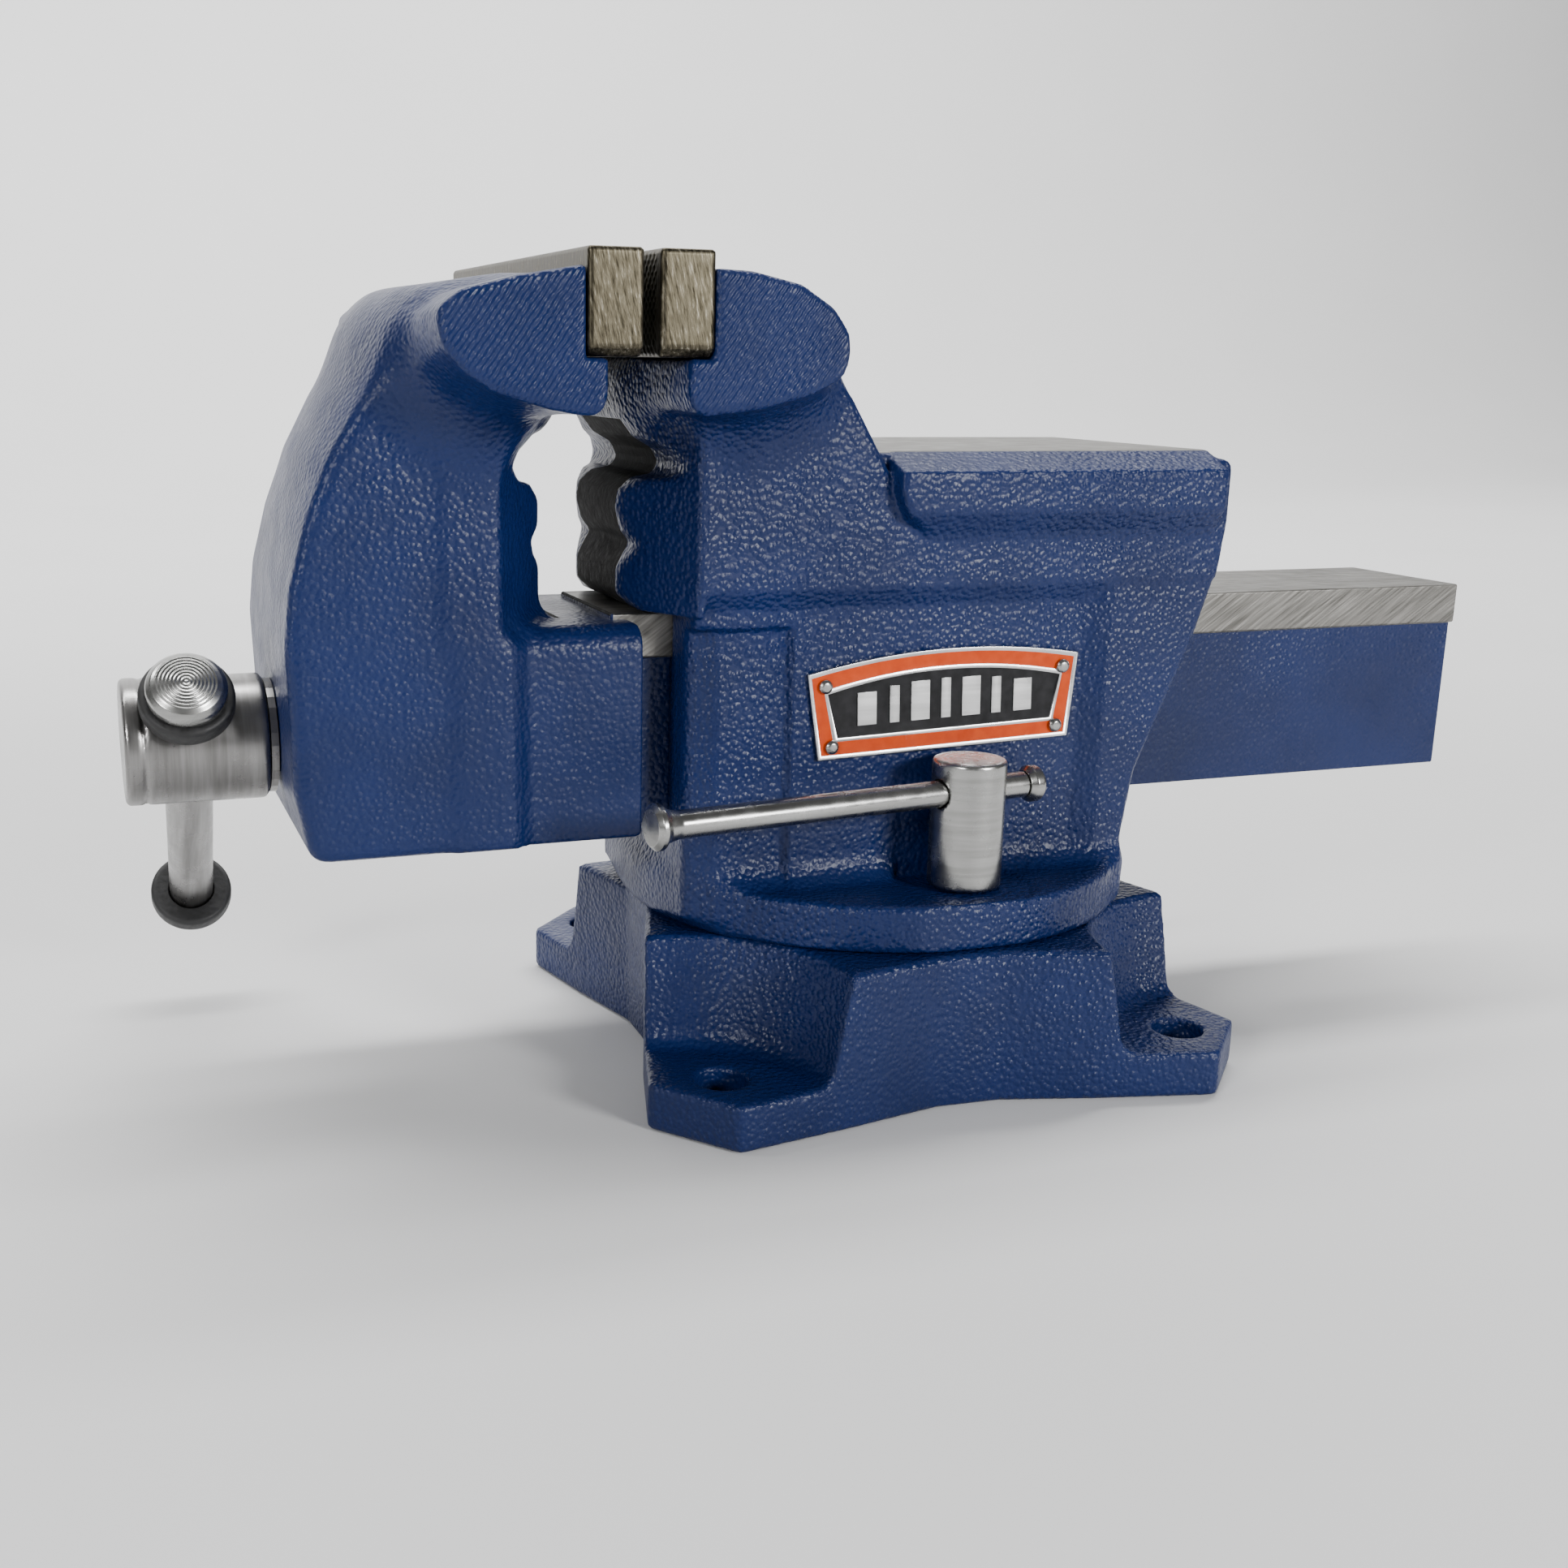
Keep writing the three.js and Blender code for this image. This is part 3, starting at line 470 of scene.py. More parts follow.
def jaw_casting():
    """The moving jaw and the neck below its throat, bored for the screw and hollow underneath."""
    grid = axes((-194, -PLATE_HALF, SLIDE_Z0), (-90, PLATE_HALF, EAR_TOP), 1.0)
    x, y, z = grid
    off = np.abs(y)
    profile = eased([
        (-133.7, 143, 6), (-129.6, 137, 6), (-129.3, SLIDE_Z0, 1), *[(a, b, 25) for a, b in JAW_FRONT[::-1]],
        (-150, 227, 10), (-133.7, 227, 0),
    ], 6)
    bulge = 8 * ramp(z, 140, 225) * (1 - (off / BLOCK_HALF) ** 2) * ramp(-x, 134, 150)
    front = polygon(profile, x + bulge, z)
    solid = meet(front, off - BLOCK_HALF, 3)
    teeth = polygon(eased([
        *FRONT_TEETH, (FRONT_FACE_X, 139, 0), (-150, 136, 0), (-150, 205, 0), (FRONT_FACE_X, 205, 0),
    ], 1.5), x, z)
    pipe = meet(teeth, wedge(grid, -134, -117, BLOCK_HALF, -160), 1.2)
    solid = fillet(solid, pipe, 1.5)
    section = meet(off - NECK_HALF, between(z, SLIDE_Z0, NECK_TOP), 7)
    section = np.where(z < 100, np.maximum(off - NECK_HALF, SLIDE_Z0 - z), section)
    neck = meet(section, between(x, -145, NECK_END), 1.5)
    solid = fillet(solid, neck, 7)
    solid = np.maximum(solid, SLIDE_Z0 - z)
    reach = (-190, -108, 176)
    solid = with_ear(solid, grid, reach, 13, FRONT_EAR, FRONT_SEAT_X, -1, 0.16, 0.35, BLOCK_HALF)
    channel = np.maximum(off - CHANNEL_HALF, np.maximum(z - CHANNEL_ROOF, WALL_BACK - x))
    radius = np.hypot(y, z - AXIS_Z)
    bore = np.minimum(radius - SHANK_R - FIT, np.maximum(radius - HEAD_R - 1, x - WALL_FRONT))
    solid = carve(carve(solid, channel, 1), bore, 0.6)
    return meshed(solid, grid)


def slide():
    """The slide: a machined flange over a cast web that is hollow underneath."""
    w, f, c = WEB_HALF, FLANGE_HALF, CHANNEL_HALF
    outline = [
        (-w, SLIDE_Z0), (-w, FLANGE_Z[0]), (-f, FLANGE_Z[0]), (-f, FLANGE_Z[1]), (f, FLANGE_Z[1]),
        (f, FLANGE_Z[0]), (w, FLANGE_Z[0]), (w, SLIDE_Z0), (c, SLIDE_Z0), (c, CHANNEL_ROOF),
        (-c, CHANNEL_ROOF), (-c, SLIDE_Z0),
    ]
    return prism_x(outline, NECK_END - 6, SLIDE_TAIL, 0.7)


# ------------------------------------------------------------------ plates, screw, handle, locks


def jaw_plate(face, grip):
    """A hardened jaw plate: rounded edges, two screw pockets and a serrated gripping face."""
    back = face - grip * PLATE_T
    grid = axes((min(face, back), -PLATE_HALF, PLATE_Z[0]), (max(face, back), PLATE_HALF, PLATE_Z[1]), 0.6)
    x, y, z = grid
    off = np.abs(y)
    deep = (face - x) * grip
    middle = sum(PLATE_Z) / 2
    corner = (off - PLATE_HALF + PLATE_Z[0] + 2.5 - z) / math.sqrt(2)
    outline = np.maximum(meet(off - PLATE_HALF, between(z, *PLATE_Z), 0.9), corner)
    inset = 0.35 * (np.abs((y + z) % 3 - 1.5) + np.abs((y - z) % 3 - 1.5)) - 0.55
    solid = meet(outline, between(deep, 0, PLATE_T), 0.9)
    solid = np.maximum(solid, np.clip(inset, 0, 0.5) * ramp(-off, -73, -71) - deep)
    spot = np.hypot(off - SCREW_AT, z - middle)
    pocket = np.minimum(np.maximum(spot - 7, deep - 9), spot - 4.3)
    return meshed(carve(solid, pocket, 0.4), grid)


def plate_screw(face, grip, side):
    """A socket-head screw that holds a jaw plate on."""
    height = sum(PLATE_Z) / 2
    profile = [
        (0, 4.6), (2.9, 4.6), (2.9, 1.2), (6.6, 1.2), (6.6, 8.7), (4, 8.7),
        (4, PLATE_T + 14), (0, PLATE_T + 14),
    ]
    return turned(profile, (face, side * SCREW_AT, height), (-grip, 0, 0), 48, 0.3)


def handle_down():
    """Direction from the screw's head to the handle's lower end."""
    return Vector((HANDLE_LEAN, math.cos(HANDLE_TILT), -math.sin(HANDLE_TILT))).normalized()


def spindle():
    """The head with its cross hole, then the shank and the square thread."""
    grid = axes((HEAD_X0, -HEAD_R, AXIS_Z - HEAD_R), (WALL_FRONT, HEAD_R, AXIS_Z + HEAD_R), 0.55)
    x, y, z = grid
    back = WALL_FRONT - 2.6
    radius = np.hypot(y, z - AXIS_Z)
    groove = 0.5 * np.exp(-(((x - HEAD_X0 - 5.5) / 0.7) ** 2))
    solid = meet(radius - HEAD_R + groove, between(x, HEAD_X0, back), 1.6)
    d = handle_down()
    rx, ry, rz = x - HANDLE_X, y, z - AXIS_Z
    along = rx * d.x + ry * d.y + rz * d.z
    eye = np.sqrt(np.maximum(rx**2 + ry**2 + rz**2 - along**2, 0)) - HANDLE_R - 0.25
    head = meshed(carve(solid, eye, 0.9), grid)
    return joined(head, threaded(back - 3, SCREW_END))


def threaded(x0, x1):
    """The shank, plain inside the moving jaw and threaded behind the retaining collar."""
    sides = 48
    per_turn = 10
    rows = np.arange(x0, x1, THREAD_PITCH / per_turn)
    angle = np.arange(sides) * 2 * math.pi / sides
    xx, aa = np.meshgrid(rows, angle, indexing="ij")
    phase = (xx / THREAD_PITCH + aa / (2 * math.pi)) % 1
    cut = ramp(phase, 0.08, 0.2) - ramp(phase, 0.52, 0.64)
    depth = 2.2 * cut * ramp(xx, -132, -128) * (1 - ramp(xx, x1 - 4, x1 - 3))
    r = SHANK_R - depth - ramp(xx, x1 - 2, x1)
    points = np.stack([xx, r * np.cos(aa), AXIS_Z + r * np.sin(aa)], -1).reshape(-1, 3)
    n = len(rows)
    faces = []
    for row in range(0, (n - 1) * sides, sides):
        for k in range(sides):
            j = (k + 1) % sides
            faces.append((row + k, row + sides + k, row + sides + j, row + j))
    faces.append(tuple(range(sides)))
    faces.append(tuple(reversed(range((n - 1) * sides, n * sides))))
    return points, faces


def joined(*meshes):
    """Several meshes as one."""
    points, faces, start = [], [], 0
    for p, f in meshes:
        points.append(p)
        faces.extend(tuple(i + start for i in face) for face in f)
        start += len(p)
    return np.concatenate(points), faces


def handle_end(side, inner):
    """A rubber ring and a domed knob with turning marks; side is -1 for the upper end."""
    origin = (HANDLE_X, 0, AXIS_Z)
    axis = handle_down() * side
    bore = HANDLE_R + FIT
    ring = bored([
        (bore, inner), (RING_R, inner, 1.8), (RING_R, inner + RING_T, 1.8), (bore, inner + RING_T),
    ], origin, axis)
    foot = inner + RING_T + FIT
    top = foot + KNOB_T
    marks = []
    for i in range(9):
        r = 8.6 - i
        marks += [(r, top - 0.012 * r * r - 0.22), (r - 0.5, top - 0.012 * (r - 0.5) ** 2)]
    knob = turned([
        (0, foot), (KNOB_R - 0.6, foot), (KNOB_R, foot + 0.6), (KNOB_R, foot + 3.2, 2),
        (KNOB_R - 1.4, foot + 4.9, 1.5), *marks, (0, top),
    ], origin, axis, 96, 0.25)
    return ring, knob


def handle_bar():
    """The bar through the screw's head, as long as the two rings stand apart."""
    near, far = -(HANDLE_NEAR + RING_T), HANDLE_FAR + RING_T
    profile = [(0, near), (HANDLE_R, near), (HANDLE_R, far), (0, far)]
    return turned(profile, (HANDLE_X, 0, AXIS_Z), handle_down(), 64)


def lock_place(side):
    """Position and bar direction of a lock-down nut; side is -1 at the nameplate."""
    turn = LOCK_BAR_AIM + (0 if side < 0 else math.pi)
    return Vector((LOCK_X, side * SWIVEL_R, 0)), Vector((math.cos(turn), math.sin(turn), 0))


def lock_nut(side):
    """A tall turned nut with a cross hole for its bar."""
    at, aim = lock_place(side)
    low = (at.x - LOCK_R, at.y - LOCK_R, DISC_Z[1])
    high = (at.x + LOCK_R, at.y + LOCK_R, LOCK_TOP)
    grid = axes(low, high, 0.5)
    x, y, z = grid
    rx, ry = x - at.x, y - at.y
    radius = np.hypot(rx, ry)
    marks = 0.12 * np.cos(radius * 2 * math.pi / 1.6) * ramp(z, LOCK_TOP - 2, LOCK_TOP - 1)
    height = between(z, DISC_Z[1] + FIT, LOCK_TOP - 0.15) + marks * (radius < 9.5)
    solid = meet(radius - LOCK_R, height, 1.1)
    across = np.hypot(rx * aim.y - ry * aim.x, z - LOCK_BAR_Z)
    below = np.maximum(radius - LOCK_BOLT_HOLE_R, z - LOCK_TOP + 21)
    return meshed(carve(carve(solid, across - LOCK_BAR_R - FIT, 0.5), below, 0.3), grid)


def lock_bar(side):
    """The bar through a lock-down nut: headed at its far end."""
    at, aim = lock_place(side)
    far = -LOCK_BAR_FAR
    profile = [
        (0, far), (5.2, far), (6.6, far + 1.2), (6.6, far + 2.6, 0.8), (4.9, far + 4.4, 2),
        (LOCK_BAR_R, far + 8, 4), (LOCK_BAR_R, LOCK_BAR_NEAR - 7), (0, LOCK_BAR_NEAR - 7),
    ]
    return turned(profile, at + Vector((0, 0, LOCK_BAR_Z)), aim, 64)


def lock_cap(side):
    """The small cap on the near end of a lock-down nut's bar."""
    at, aim = lock_place(side)
    start, end = LOCK_BAR_NEAR - 6.7, LOCK_BAR_NEAR
    profile = [
        (0, start), (4.2, start), (5.6, start + 1.6, 1), (5.6, start + 4.2, 1.2),
        (3.6, end - 0.6, 1.5), (0, end, 2),
    ]
    return turned(profile, at + Vector((0, 0, LOCK_BAR_Z)), aim, 64)


def lock_bolt(side):
    """The T bolt whose head runs in the base's slot."""
    at, _ = lock_place(side)
    profile = [(0, 25.5), (9, 25.5), (9, 35), (5.5, 35), (5.5, LOCK_TOP - 22), (0, LOCK_TOP - 22)]
    return turned(profile, at, (0, 0, 1), 48)


def main_nut():
    """The nut block that is bolted to the body; the slide passes over it."""
    half, x0, x1 = 15.0, -60.0, -12.0
    grid = axes((x0, -half, SLIDE_Z0), (x1, half, AXIS_Z + half), 0.8)
    x, y, z = grid
    plan = meet(between(x, x0, x1), np.abs(y) - half, 1.5)
    solid = meet(plan, between(z, SLIDE_Z0 - 0.1, AXIS_Z + half), 1.5)
    return meshed(carve(solid, np.hypot(y, z - AXIS_Z) - SHANK_R - FIT, 1), grid)


def spring():
    """The coil between the jaw's wall and the retaining collar."""
    x0, x1 = WALL_BACK + 2, -148.0
    r, wire = 13.2, 1.4
    turns, steps, sides = 4, 40, 12
    count = turns * steps
    points, faces = [], []
    for i in range(count + 1):
        a = 2 * math.pi * i / steps
        x = x0 + (x1 - x0) * i / count
        for k in range(sides):
            b = 2 * math.pi * k / sides
            reach = r + wire * math.cos(b)
            points.append((x + wire * math.sin(b), reach * math.cos(a), AXIS_Z + reach * math.sin(a)))
    for i in range(count):
        for k in range(sides):
            j = (k + 1) % sides
            faces.append((i * sides + k, i * sides + j, (i + 1) * sides + j, (i + 1) * sides + k))
    faces.append(tuple(reversed(range(sides))))
    faces.append(tuple(range(count * sides, (count + 1) * sides)))
    return np.array(points, float), faces


# ------------------------------------------------------------------ nameplate


def name_outline(inset):
    """The plate's arched outline, pulled in by a margin, in (x, z) from its lower middle."""
    w, low = NAME_W / 2 - inset, inset
    top = NAME_H - inset
    arch = [w * math.cos(math.pi * k / 24) for k in range(25)]
    upper = [(a, top - NAME_RISE * (a / w) ** 2) for a in arch]
    return upper + [(-w + 3, low), (w - 3, low)]


def on_plate(across, out, up):
    """A point of the plate, measured from the middle of its lower edge and out of its back."""
    c, s = math.cos(NAME_TILT), math.sin(NAME_TILT)
    return (NAME_X + across * c - up * s, NAME_Y - out, NAME_Z + across * s + up * c)


def nameplate():
    """Stepped plate: each band is (inset, height over the back). Each face's material comes too."""
    bands = [
        (0, 0), (0, 0.85), (0.25, 1), (1.1, 1), (1.3, 0.6), (5.2, 0.6), (5.4, 1), (6.3, 1), (6.5, 0.45),
    ]
    points, faces, kinds = [], [], []
    kind_of = {4: 1, 7: 2}
    n = len(name_outline(0))
    for inset, high in bands:
        points += [on_plate(a, high * NAME_T, b) for a, b in name_outline(inset)]
    for i in range(len(bands) - 1):
        for k in range(n):
            j = (k + 1) % n
            faces.append((i * n + k, i * n + j, (i + 1) * n + j, (i + 1) * n + k))
            kinds.append(kind_of.get(i, 0))
    last = (len(bands) - 1) * n
    faces.append(tuple(range(last, last + n)))
    kinds.append(2)
    faces.append(tuple(reversed(range(n))))
    kinds.append(0)
    return np.array(points, float), faces, kinds


def bars_on_plate():
    """Raised silver bars across the field, in place of lettering."""
    parts = []
    for x, width in NAME_BARS:
        left, right = x - width / 2, x + width / 2
        low, high = NAME_FIELD_Z, NAME_BAR_TOP - 0.0033 * x * x
        corners = [(left, low), (right, low), (right, high), (left, high)]
        points = [on_plate(a, out, b) for a, b in corners for out in (0.3, 0.95)]
        faces = [(0, 1, 3, 2), (2, 3, 5, 4), (4, 5, 7, 6), (6, 7, 1, 0), (1, 7, 5, 3), (0, 2, 4, 6)]
        parts.append((np.array(points, float), faces))
    return joined(*parts)


def rivet(dx, dz):
    """A domed rivet, placed from the middle of the plate's lower edge."""
    profile = [(0, 0.2), (0.9, 0.2), (0.9, 1.2), (2.2, 1.2), (2.05, 1.9, 0.6), (1.3, 2.45, 1), (0, 2.62)]
    return turned(profile, on_plate(dx, -0.2, dz), (0, -1, 0), 32, 0.2)


# ------------------------------------------------------------------ materials


class Look:
    """A principled material and short ways to add textures that ride with the piece."""

    def __init__(self, name):
        self.material = bpy.data.materials.new(name)
        self.material.use_nodes = True
        self.tree = self.material.node_tree
        self.shader = self.tree.nodes["Principled BSDF"]
        self.place = self.tree.nodes.new("ShaderNodeTexCoord").outputs["Object"]

    def feed(self, node, inputs):
        """Each input is linked to a socket or set to a value."""
        for key, value in inputs.items():
            socket = node.inputs[key.replace("_", " ")]
            if isinstance(value, bpy.types.NodeSocket):
                self.tree.links.new(value, socket)
            else:
                socket.default_value = value

    def add(self, kind, **inputs):
        node = self.tree.nodes.new(kind)
        self.feed(node, inputs)
        return node

    def stretched(self, scale, turn=(0, 0, 0)):
        """The piece's own coordinates, turned and then scaled per axis."""
        turned_place = self.add("ShaderNodeMapping", Vector=self.place, Rotation=turn).outputs["Vector"]
        return self.add("ShaderNodeMapping", Vector=turned_place, Scale=scale).outputs["Vector"]

    def noise(self, scale, detail=3.0, roughness=0.5, vector=None):
        where = vector or self.place
        node = self.add("ShaderNodeTexNoise", Vector=where, Scale=scale, Detail=detail, Roughness=roughness)
        return node.outputs["Fac"]

    def cells(self, scale, smoothness):
        """Rounded pebbles: the distance to the nearest cell's middle."""
        node = self.tree.nodes.new("ShaderNodeTexVoronoi")
        node.feature = "SMOOTH_F1"
        node.inputs["Scale"].default_value = scale
        node.inputs["Smoothness"].default_value = smoothness
        self.tree.links.new(self.place, node.inputs["Vector"])
        return node.outputs["Distance"]

    def furrows(self, scale, turn):
        """Nearly straight parallel lines, turned about the piece's axes."""
        node = self.add("ShaderNodeTexWave", Vector=self.stretched((1, 1, 1), turn), Scale=scale,
                        Distortion=2.5, Detail=2.0, Detail_Scale=1.5)
        node.bands_direction = "Z"
        return node.outputs["Fac"]

    def span(self, value, low, high, to_low, to_high):
        """The value stretched from one range to another."""
        node = self.add("ShaderNodeMapRange", Value=value)
        node.inputs["From Min"].default_value = low
        node.inputs["From Max"].default_value = high
        node.inputs["To Min"].default_value = to_low
        node.inputs["To Max"].default_value = to_high
        return node.outputs["Result"]

    def colours(self, value, *stops):
        """A ramp of (position, colour) stops."""
        node = self.add("ShaderNodeValToRGB", Fac=value)
        elements = node.color_ramp.elements
        while len(elements) < len(stops):
            elements.new(0.5)
        for element, (position, colour) in zip(elements, stops):
            element.position = position
            element.color = (*colour, 1)
        return node.outputs["Color"]

    def bump(self, height, strength, distance, normal=None):
        node = self.add("ShaderNodeBump", Height=height, Strength=strength, Distance=distance)
        if normal:
            self.tree.links.new(normal, node.inputs["Normal"])
        return node.outputs["Normal"]

    def set(self, **inputs):
        self.feed(self.shader, inputs)
        return self.material


DEEP_BLUE = (0.0022, 0.0105, 0.062)
PALE_BLUE = (0.0042, 0.0160, 0.088)
GRIND_ANGLE = 0.95


def cast_paint(name, pebble, grinding=0.0):
    """Blue enamel over a sand-cast skin: pebble is how far the grain stands out, and grinding how
    far the slanting marks of a grinder show through the paint."""
    look = Look(name)
    shade = look.colours(look.noise(26, 4), (0.3, DEEP_BLUE), (0.7, PALE_BLUE))
    patches = look.span(look.noise(14, 2), 0.35, 0.65, 0.5 * pebble, pebble)
    grain = look.span(look.cells(620, 0.35), 0.0, 0.75, 1, 0)
    normal = look.bump(grain, patches, 0.0007)
    normal = look.bump(look.noise(800, 1.5), 0.4 * pebble, 0.0004, normal)
    if grinding:
        normal = look.bump(look.furrows(230, (0, GRIND_ANGLE, 0)), grinding, 0.0004, normal)
    rough = look.span(look.noise(90, 3), 0.3, 0.7, 0.32, 0.42)
    return look.set(Base_Color=shade, Roughness=rough, Normal=normal, Specular_IOR_Level=0.32)


def machined_iron(name, spin):
    """Milled grey iron with fine slanting cutter lines."""
    look = Look(name)
    lines = look.noise(1100, 2, 0.5, look.stretched((0.05, 1, 1), (0, spin, 0)))
    shade = look.colours(lines, (0.3, (0.1, 0.096, 0.088)), (0.7, (0.27, 0.262, 0.245)))
    normal = look.bump(lines, 0.35, 0.0003)
    rough = look.span(look.noise(120), 0.3, 0.7, 0.38, 0.55)
    return look.set(Base_Color=shade, Metallic=0.85, Roughness=rough, Normal=normal)


def plate_steel():
    """Hardened, ground jaw steel: dark, mottled and scratched."""
    look = Look("jaw_plate_steel")
    mottle = look.noise(1300, 4, 0.7, look.stretched((1, 1, 0.14), (0, 0.2, 0)))
    shade = look.colours(mottle, (0.36, (0.03, 0.026, 0.017)), (0.58, (0.11, 0.097, 0.068)),
                         (0.76, (0.42, 0.39, 0.32)))
    scratches = look.noise(900, 3, 0.6, look.stretched((1, 1, 0.1), (0, 0.2, 0)))
    rough = look.span(mottle, 0.3, 0.7, 0.3, 0.5)
    normal = look.bump(scratches, 0.4, 0.0002)
    return look.set(Base_Color=shade, Metallic=1.0, Roughness=rough, Normal=normal)


def bright_metal(name, low, high, rough, turn):
    """Plated or turned steel with faint polishing lines."""
    look = Look(name)
    lines = look.noise(420, 3, 0.6, look.stretched((1, 0.06, 0.06) if turn else (0.06, 0.06, 1)))
    shade = look.colours(lines, (0.3, low), (0.7, high))
    normal = look.bump(lines, 0.12, 0.0001)
    gloss = look.span(look.noise(160), 0.3, 0.7, rough, rough + 0.12)
    return look.set(Base_Color=shade, Metallic=1.0, Roughness=gloss, Normal=normal)


def teeth_shade_iron():
    """Near-black, dull iron for the faces the pipe jaws turn to each other: painted shade for the shadow
    between the jaws, on faces taken as bare iron.
    """
    look = Look("teeth_iron_painted_shade")
    grain = look.noise(400, 4, 0.6)
    shade = look.colours(grain, (0.35, (0.004, 0.004, 0.004)), (0.7, (0.018, 0.017, 0.016)))
    normal = look.bump(grain, 0.5, 0.0006)
    rough = look.span(grain, 0.3, 0.7, 0.65, 0.85)
    return look.set(Base_Color=shade, Roughness=rough, Normal=normal, Specular_IOR_Level=0.15)


def rubber():
    """Black rubber of the handle's rings."""
    look = Look("ring_rubber")
    grain = look.noise(700, 3)
    shade = look.colours(grain, (0.3, (0.006, 0.006, 0.006)), (0.7, (0.016, 0.016, 0.017)))
    return look.set(Base_Color=shade, Roughness=look.span(grain, 0.3, 0.7, 0.45, 0.65),
                    Normal=look.bump(grain, 0.3, 0.0003))


def enamel(name, low, high):
    """Stamped and painted sheet of the nameplate."""
    look = Look(name)
    grain = look.noise(300, 3)
    shade = look.colours(grain, (0.3, low), (0.7, high))
    return look.set(Base_Color=shade, Roughness=look.span(grain, 0.3, 0.7, 0.28, 0.42),
                    Normal=look.bump(grain, 0.15, 0.0002), Specular_IOR_Level=0.2)


BODY_PAINT = cast_paint("cast_paint", 0.75)
JAW_PAINT = cast_paint("smooth_cast_paint", 0.42)
GROUND_PAINT = cast_paint("ground_cast_paint", 0.3, 0.45)
IRON_TOP = machined_iron("milled_iron_top", 0.0)
IRON_SIDE = machined_iron("milled_iron_side", 0.6)
PLATE_STEEL = plate_steel()
STEEL = bright_metal("turned_steel", (0.19, 0.185, 0.18), (0.32, 0.315, 0.31), 0.24, True)
DARK_STEEL = bright_metal("bolt_steel", (0.08, 0.075, 0.07), (0.16, 0.15, 0.14), 0.4, False)
PLATED = bright_metal("plated_steel", (0.3, 0.3, 0.29), (0.44, 0.44, 0.43), 0.2, False)
# Painted shade: near-black iron on the pipe jaws' tooth faces, for the shadow between the jaws.
TEETH_PAINTED_SHADE = teeth_shade_iron()
NUT_IRON = machined_iron("nut_iron", 0.3)
RUBBER = rubber()
ORANGE = enamel("orange_enamel", (0.52, 0.045, 0.0015), (0.62, 0.065, 0.003))
BLACK = enamel("black_enamel", (0.006, 0.006, 0.007), (0.016, 0.016, 0.018))
SILVER = bright_metal("stamped_silver", (0.5, 0.5, 0.5), (0.7, 0.7, 0.7), 0.25, False)

# ------------------------------------------------------------------ pieces


def piece(name, mesh, body, looks, replaced, choose=None, kinds=None):
    """A mesh in millimetres becomes a piece that rides on a body and stands for CAD nodes."""
    points, faces = mesh
    data = bpy.data.meshes.new(name)
    data.from_pydata((np.asarray(points) * MM).tolist(), [], faces)
    data.validate()
    bm = bmesh.new()
    bm.from_mesh(data)
    bmesh.ops.recalc_face_normals(bm, faces=bm.faces)
    bm.to_mesh(data)
    bm.free()
    for look in looks:
        data.materials.append(look)
    if choose:
        kinds = [choose(p.center / MM, p.normal) for p in data.polygons]
    if kinds:
        data.polygons.foreach_set("material_index", kinds)
    data.polygons.foreach_set("use_smooth", [True] * len(data.polygons))
    obj = bpy.data.objects.new(name, data)
    bpy.context.scene.collection.objects.link(obj)
    weighted = obj.modifiers.new("even_shading", "WEIGHTED_NORMAL")
    weighted.keep_sharp = True
    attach(obj, body)
    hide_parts(*replaced)
    return obj


def ear_end(centre):
    """The flat ends of the ears."""
    return abs(centre.y) > PLATE_HALF - 0.4 and centre.z > 180


def tooth_face(centre, normal):
    """The faces that the two pipe jaws turn to each other, which get the painted shade of near-black iron.
    """
    inside = FRONT_FACE_X - 18 < centre.x < FRONT_X - 1 and NECK_TOP < centre.z < 197
    return inside and abs(centre.y) < PIPE_HALF - 0.3 and abs(normal.y) < 0.5


def body_finish(centre, normal):
    """The anvil's top is ground bare, and the ears' ends were ground before the paint. The faces between the
    pipe jaws get near-black iron as painted shade.
    """
    if ANVIL_Z - 0.6 < centre.z < ANVIL_Z + 1 and centre.x > -45 and normal.z > 0.95:
        return 1
    if tooth_face(centre, normal):
        return 3
    return 2 if ear_end(centre) else 0


def jaw_finish(centre, normal):
    """The slide's flange is milled, on top and at the sides; the faces between the pipe jaws get near-black
    iron as painted shade; everything else is painted.
    """
    if centre.x > NECK_END + 0.5 and centre.z > FLANGE_Z[0] - 0.5:
        return 1 if normal.z > 0.6 else 2
    if tooth_face(centre, normal):
        return 4
    return 3 if ear_end(centre) else 0


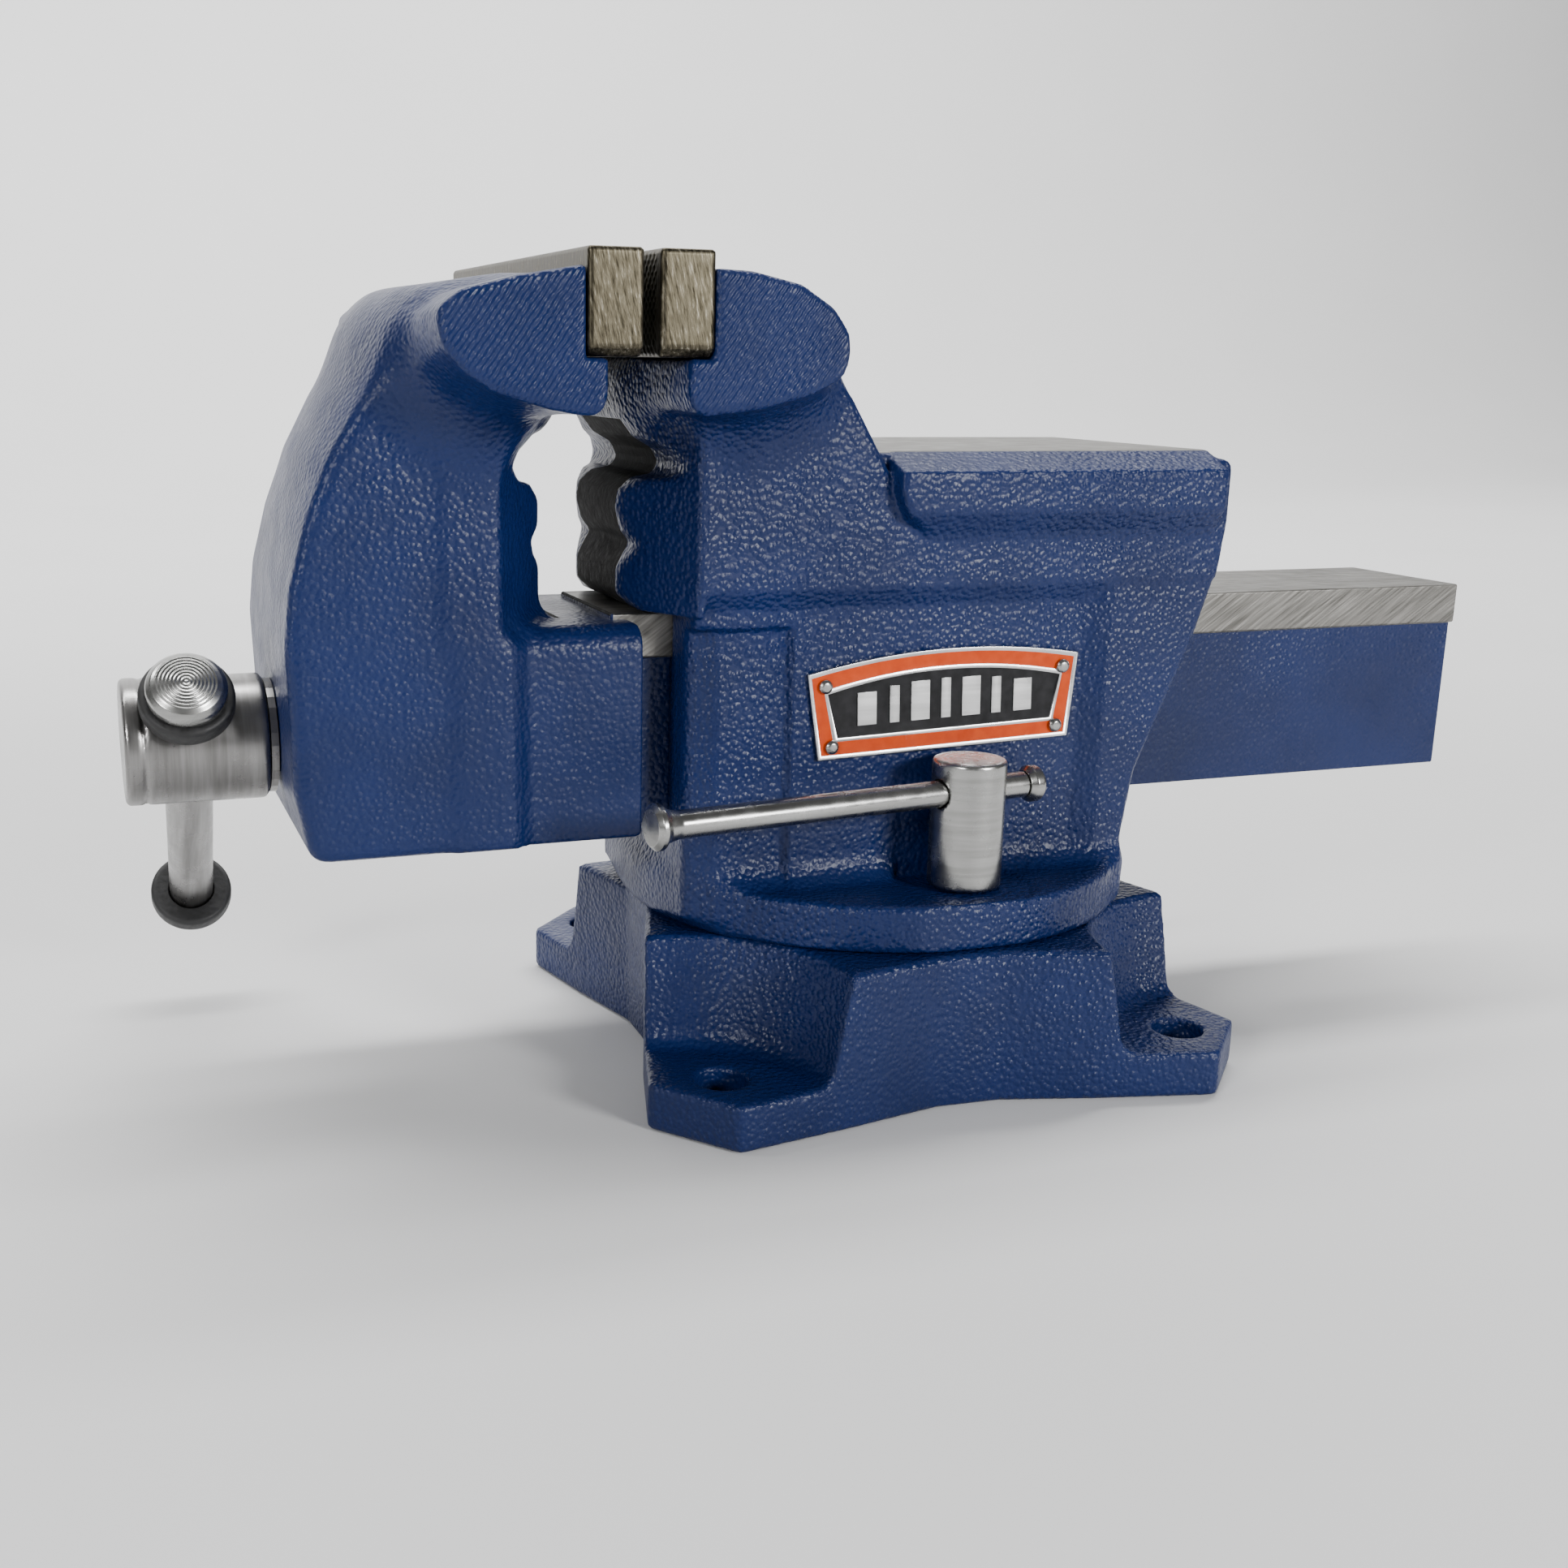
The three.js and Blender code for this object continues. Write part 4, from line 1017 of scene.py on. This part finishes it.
def build():
    """Every piece, with the body it rides on and the nodes it stands for."""
    piece("base_casting", swivel_base(), "base", [BODY_PAINT], ["swivel_base"])
    body_looks = [BODY_PAINT, IRON_TOP, GROUND_PAINT, TEETH_PAINTED_SHADE]
    piece("body_casting", vise_body(), "body", body_looks, ["vise_body"], body_finish)
    jaw = joined(jaw_casting(), slide())
    jaw_looks = [JAW_PAINT, IRON_TOP, IRON_SIDE, GROUND_PAINT, TEETH_PAINTED_SHADE]
    piece("jaw_casting", jaw, "jaw", jaw_looks, ["moving_jaw"], jaw_finish)
    jaws = (("rear", REAR_PLATE_X, -1, "body"), ("front", FRONT_PLATE_X, 1, "jaw"))
    for label, face, grip, body in jaws:
        node = f"{label}_jaw_plate"
        piece(f"{label}_plate", jaw_plate(face, grip), body, [PLATE_STEEL], [node])
        for number, side in ((1, -1), (2, 1)):
            screw = plate_screw(face, grip, side)
            name = f"{label}_plate_screw_{number}"
            piece(name, screw, body, [DARK_STEEL], [f"{node}_screw_{number}"])
    piece("screw_spindle", spindle(), "screw", [STEEL], ["spindle"])
    piece("bar", handle_bar(), "handle", [STEEL], ["handle_bar"])
    for label, side, inner in (("upper", -1, HANDLE_NEAR), ("lower", 1, HANDLE_FAR)):
        ring, knob = handle_end(side, inner)
        piece(f"ring_{label}", ring, "handle", [RUBBER], [f"handle_ring_{label}"])
        piece(f"knob_{label}", knob, "handle", [PLATED], [f"handle_knob_{label}"])
    for label, side in (("front", -1), ("rear", 1)):
        piece(f"nut_{label}", lock_nut(side), f"lock_{label}", [PLATED], [f"lock_nut_{label}"])
        lever = f"lock_lever_{label}"
        piece(f"lever_{label}", lock_bar(side), lever, [PLATED], [f"lock_bar_{label}"])
        piece(f"cap_{label}", lock_cap(side), lever, [PLATED], [f"lock_bar_cap_{label}"])
        piece(f"bolt_{label}", lock_bolt(side), "body", [DARK_STEEL], [f"lock_bolt_{label}"])
    piece("nut_block", main_nut(), "body", [NUT_IRON], ["main_nut"])
    piece("coil", spring(), "jaw", [DARK_STEEL], ["return_spring"])
    points, faces, kinds = nameplate()
    extra, extra_faces = bars_on_plate()
    plate = joined((points, faces), (extra, extra_faces))
    kinds = kinds + [0] * len(extra_faces)
    piece("badge", plate, "body", [SILVER, ORANGE, BLACK], ["nameplate"], kinds=kinds)
    for i, (dx, dz) in enumerate(RIVETS):
        piece(f"badge_rivet_{i + 1}", rivet(dx, dz), "body", [PLATED], [f"nameplate_rivet_{i + 1}"])


def dress_carried_nodes():
    """The small inner parts are shown as the frame has them, with a real finish."""
    finishes = {
        "nut_bolt": DARK_STEEL, "thrust_washer": STEEL, "retaining_collar": STEEL, "collar_pin": STEEL,
    }
    for name, look in finishes.items():
        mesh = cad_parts[name].data
        mesh.materials.clear()
        mesh.materials.append(look)


# ------------------------------------------------------------------ floor, light and camera


def sweep():
    """A pale floor that curves up into a plain wall far behind the vise; lengths in metres."""
    reach, front, bend_at, bend_r, wall_top = 7.0, -4.0, 2.2, 1.2, 5.0
    arc = [k * math.pi / 48 for k in range(25)]
    line = [(front, 0), *[(bend_at + bend_r * math.sin(a), bend_r * (1 - math.cos(a))) for a in arc]]
    line.append((bend_at + bend_r, wall_top))
    points = [(x, y, z) for y, z in line for x in (-reach, reach)]
    faces = [(2 * i, 2 * i + 1, 2 * i + 3, 2 * i + 2) for i in range(len(line) - 1)]
    data = bpy.data.meshes.new("floor")
    data.from_pydata(points, [], faces)
    data.polygons.foreach_set("use_smooth", [True] * len(faces))
    look = Look("pale_floor")
    shade = look.colours(look.noise(3), (0.3, (0.7, 0.7, 0.7)), (0.7, (0.72, 0.72, 0.72)))
    data.materials.append(look.set(Base_Color=shade, Roughness=0.9))
    obj = bpy.data.objects.new("floor", data)
    bpy.context.scene.collection.objects.link(obj)


def area_light(name, at, aim, size, watts):
    """A soft box at a point, aimed at another; lengths in metres."""
    data = bpy.data.lights.new(name, "AREA")
    data.shape = "RECTANGLE"
    data.size, data.size_y = size
    data.energy = watts
    obj = bpy.data.objects.new(name, data)
    obj.location = at
    obj.rotation_euler = (Vector(aim) - Vector(at)).to_track_quat("-Z", "Y").to_euler()
    bpy.context.scene.collection.objects.link(obj)


def lights():
    world = bpy.data.worlds.new("studio")
    world.use_nodes = True
    background = world.node_tree.nodes["Background"]
    background.inputs["Color"].default_value = (1, 1, 1, 1)
    background.inputs["Strength"].default_value = 0.16
    bpy.context.scene.world = world
    middle = (0, 0, 0.12)
    area_light("key", (0.9, -1.8, 0.7), middle, (0.5, 0.4), 36)
    area_light("side", (-1.6, -1.2, 0.8), middle, (0.4, 0.4), 17)
    area_light("top", (0.1, 0.4, 1.9), middle, (1.2, 1.2), 6)
    area_light("wall", (0, 0.9, 3.2), (0, 3.3, 0.9), (5.0, 1.0), 330)


CAMERA_AT = Vector((-0.24909, -0.50776, 0.2130))
CAMERA_FORWARD = Vector((0.3302, 0.9104, -0.2493))
CAMERA_ROLL = math.radians(0.84)
CAMERA_LENS = 40.34
CAMERA_SHIFT = (0.0647, 0.0188)


def camera():
    data = bpy.data.cameras.new("camera")
    data.sensor_width = 36
    data.lens = CAMERA_LENS
    data.shift_x, data.shift_y = CAMERA_SHIFT
    data.dof.use_dof = False
    data.clip_start, data.clip_end = 0.01, 60
    forward = CAMERA_FORWARD.normalized()
    right = forward.cross(Vector((0, 0, 1))).normalized()
    up = right.cross(forward)
    c, s = math.cos(CAMERA_ROLL), math.sin(CAMERA_ROLL)
    right, up = right * c + up * s, up * c - right * s
    turn = Matrix((right, up, -forward)).transposed().to_4x4()
    obj = bpy.data.objects.new("camera", data)
    obj.matrix_world = Matrix.Translation(CAMERA_AT) @ turn
    bpy.context.scene.collection.objects.link(obj)
    bpy.context.scene.camera = obj


build()
dress_carried_nodes()
sweep()
lights()
camera()
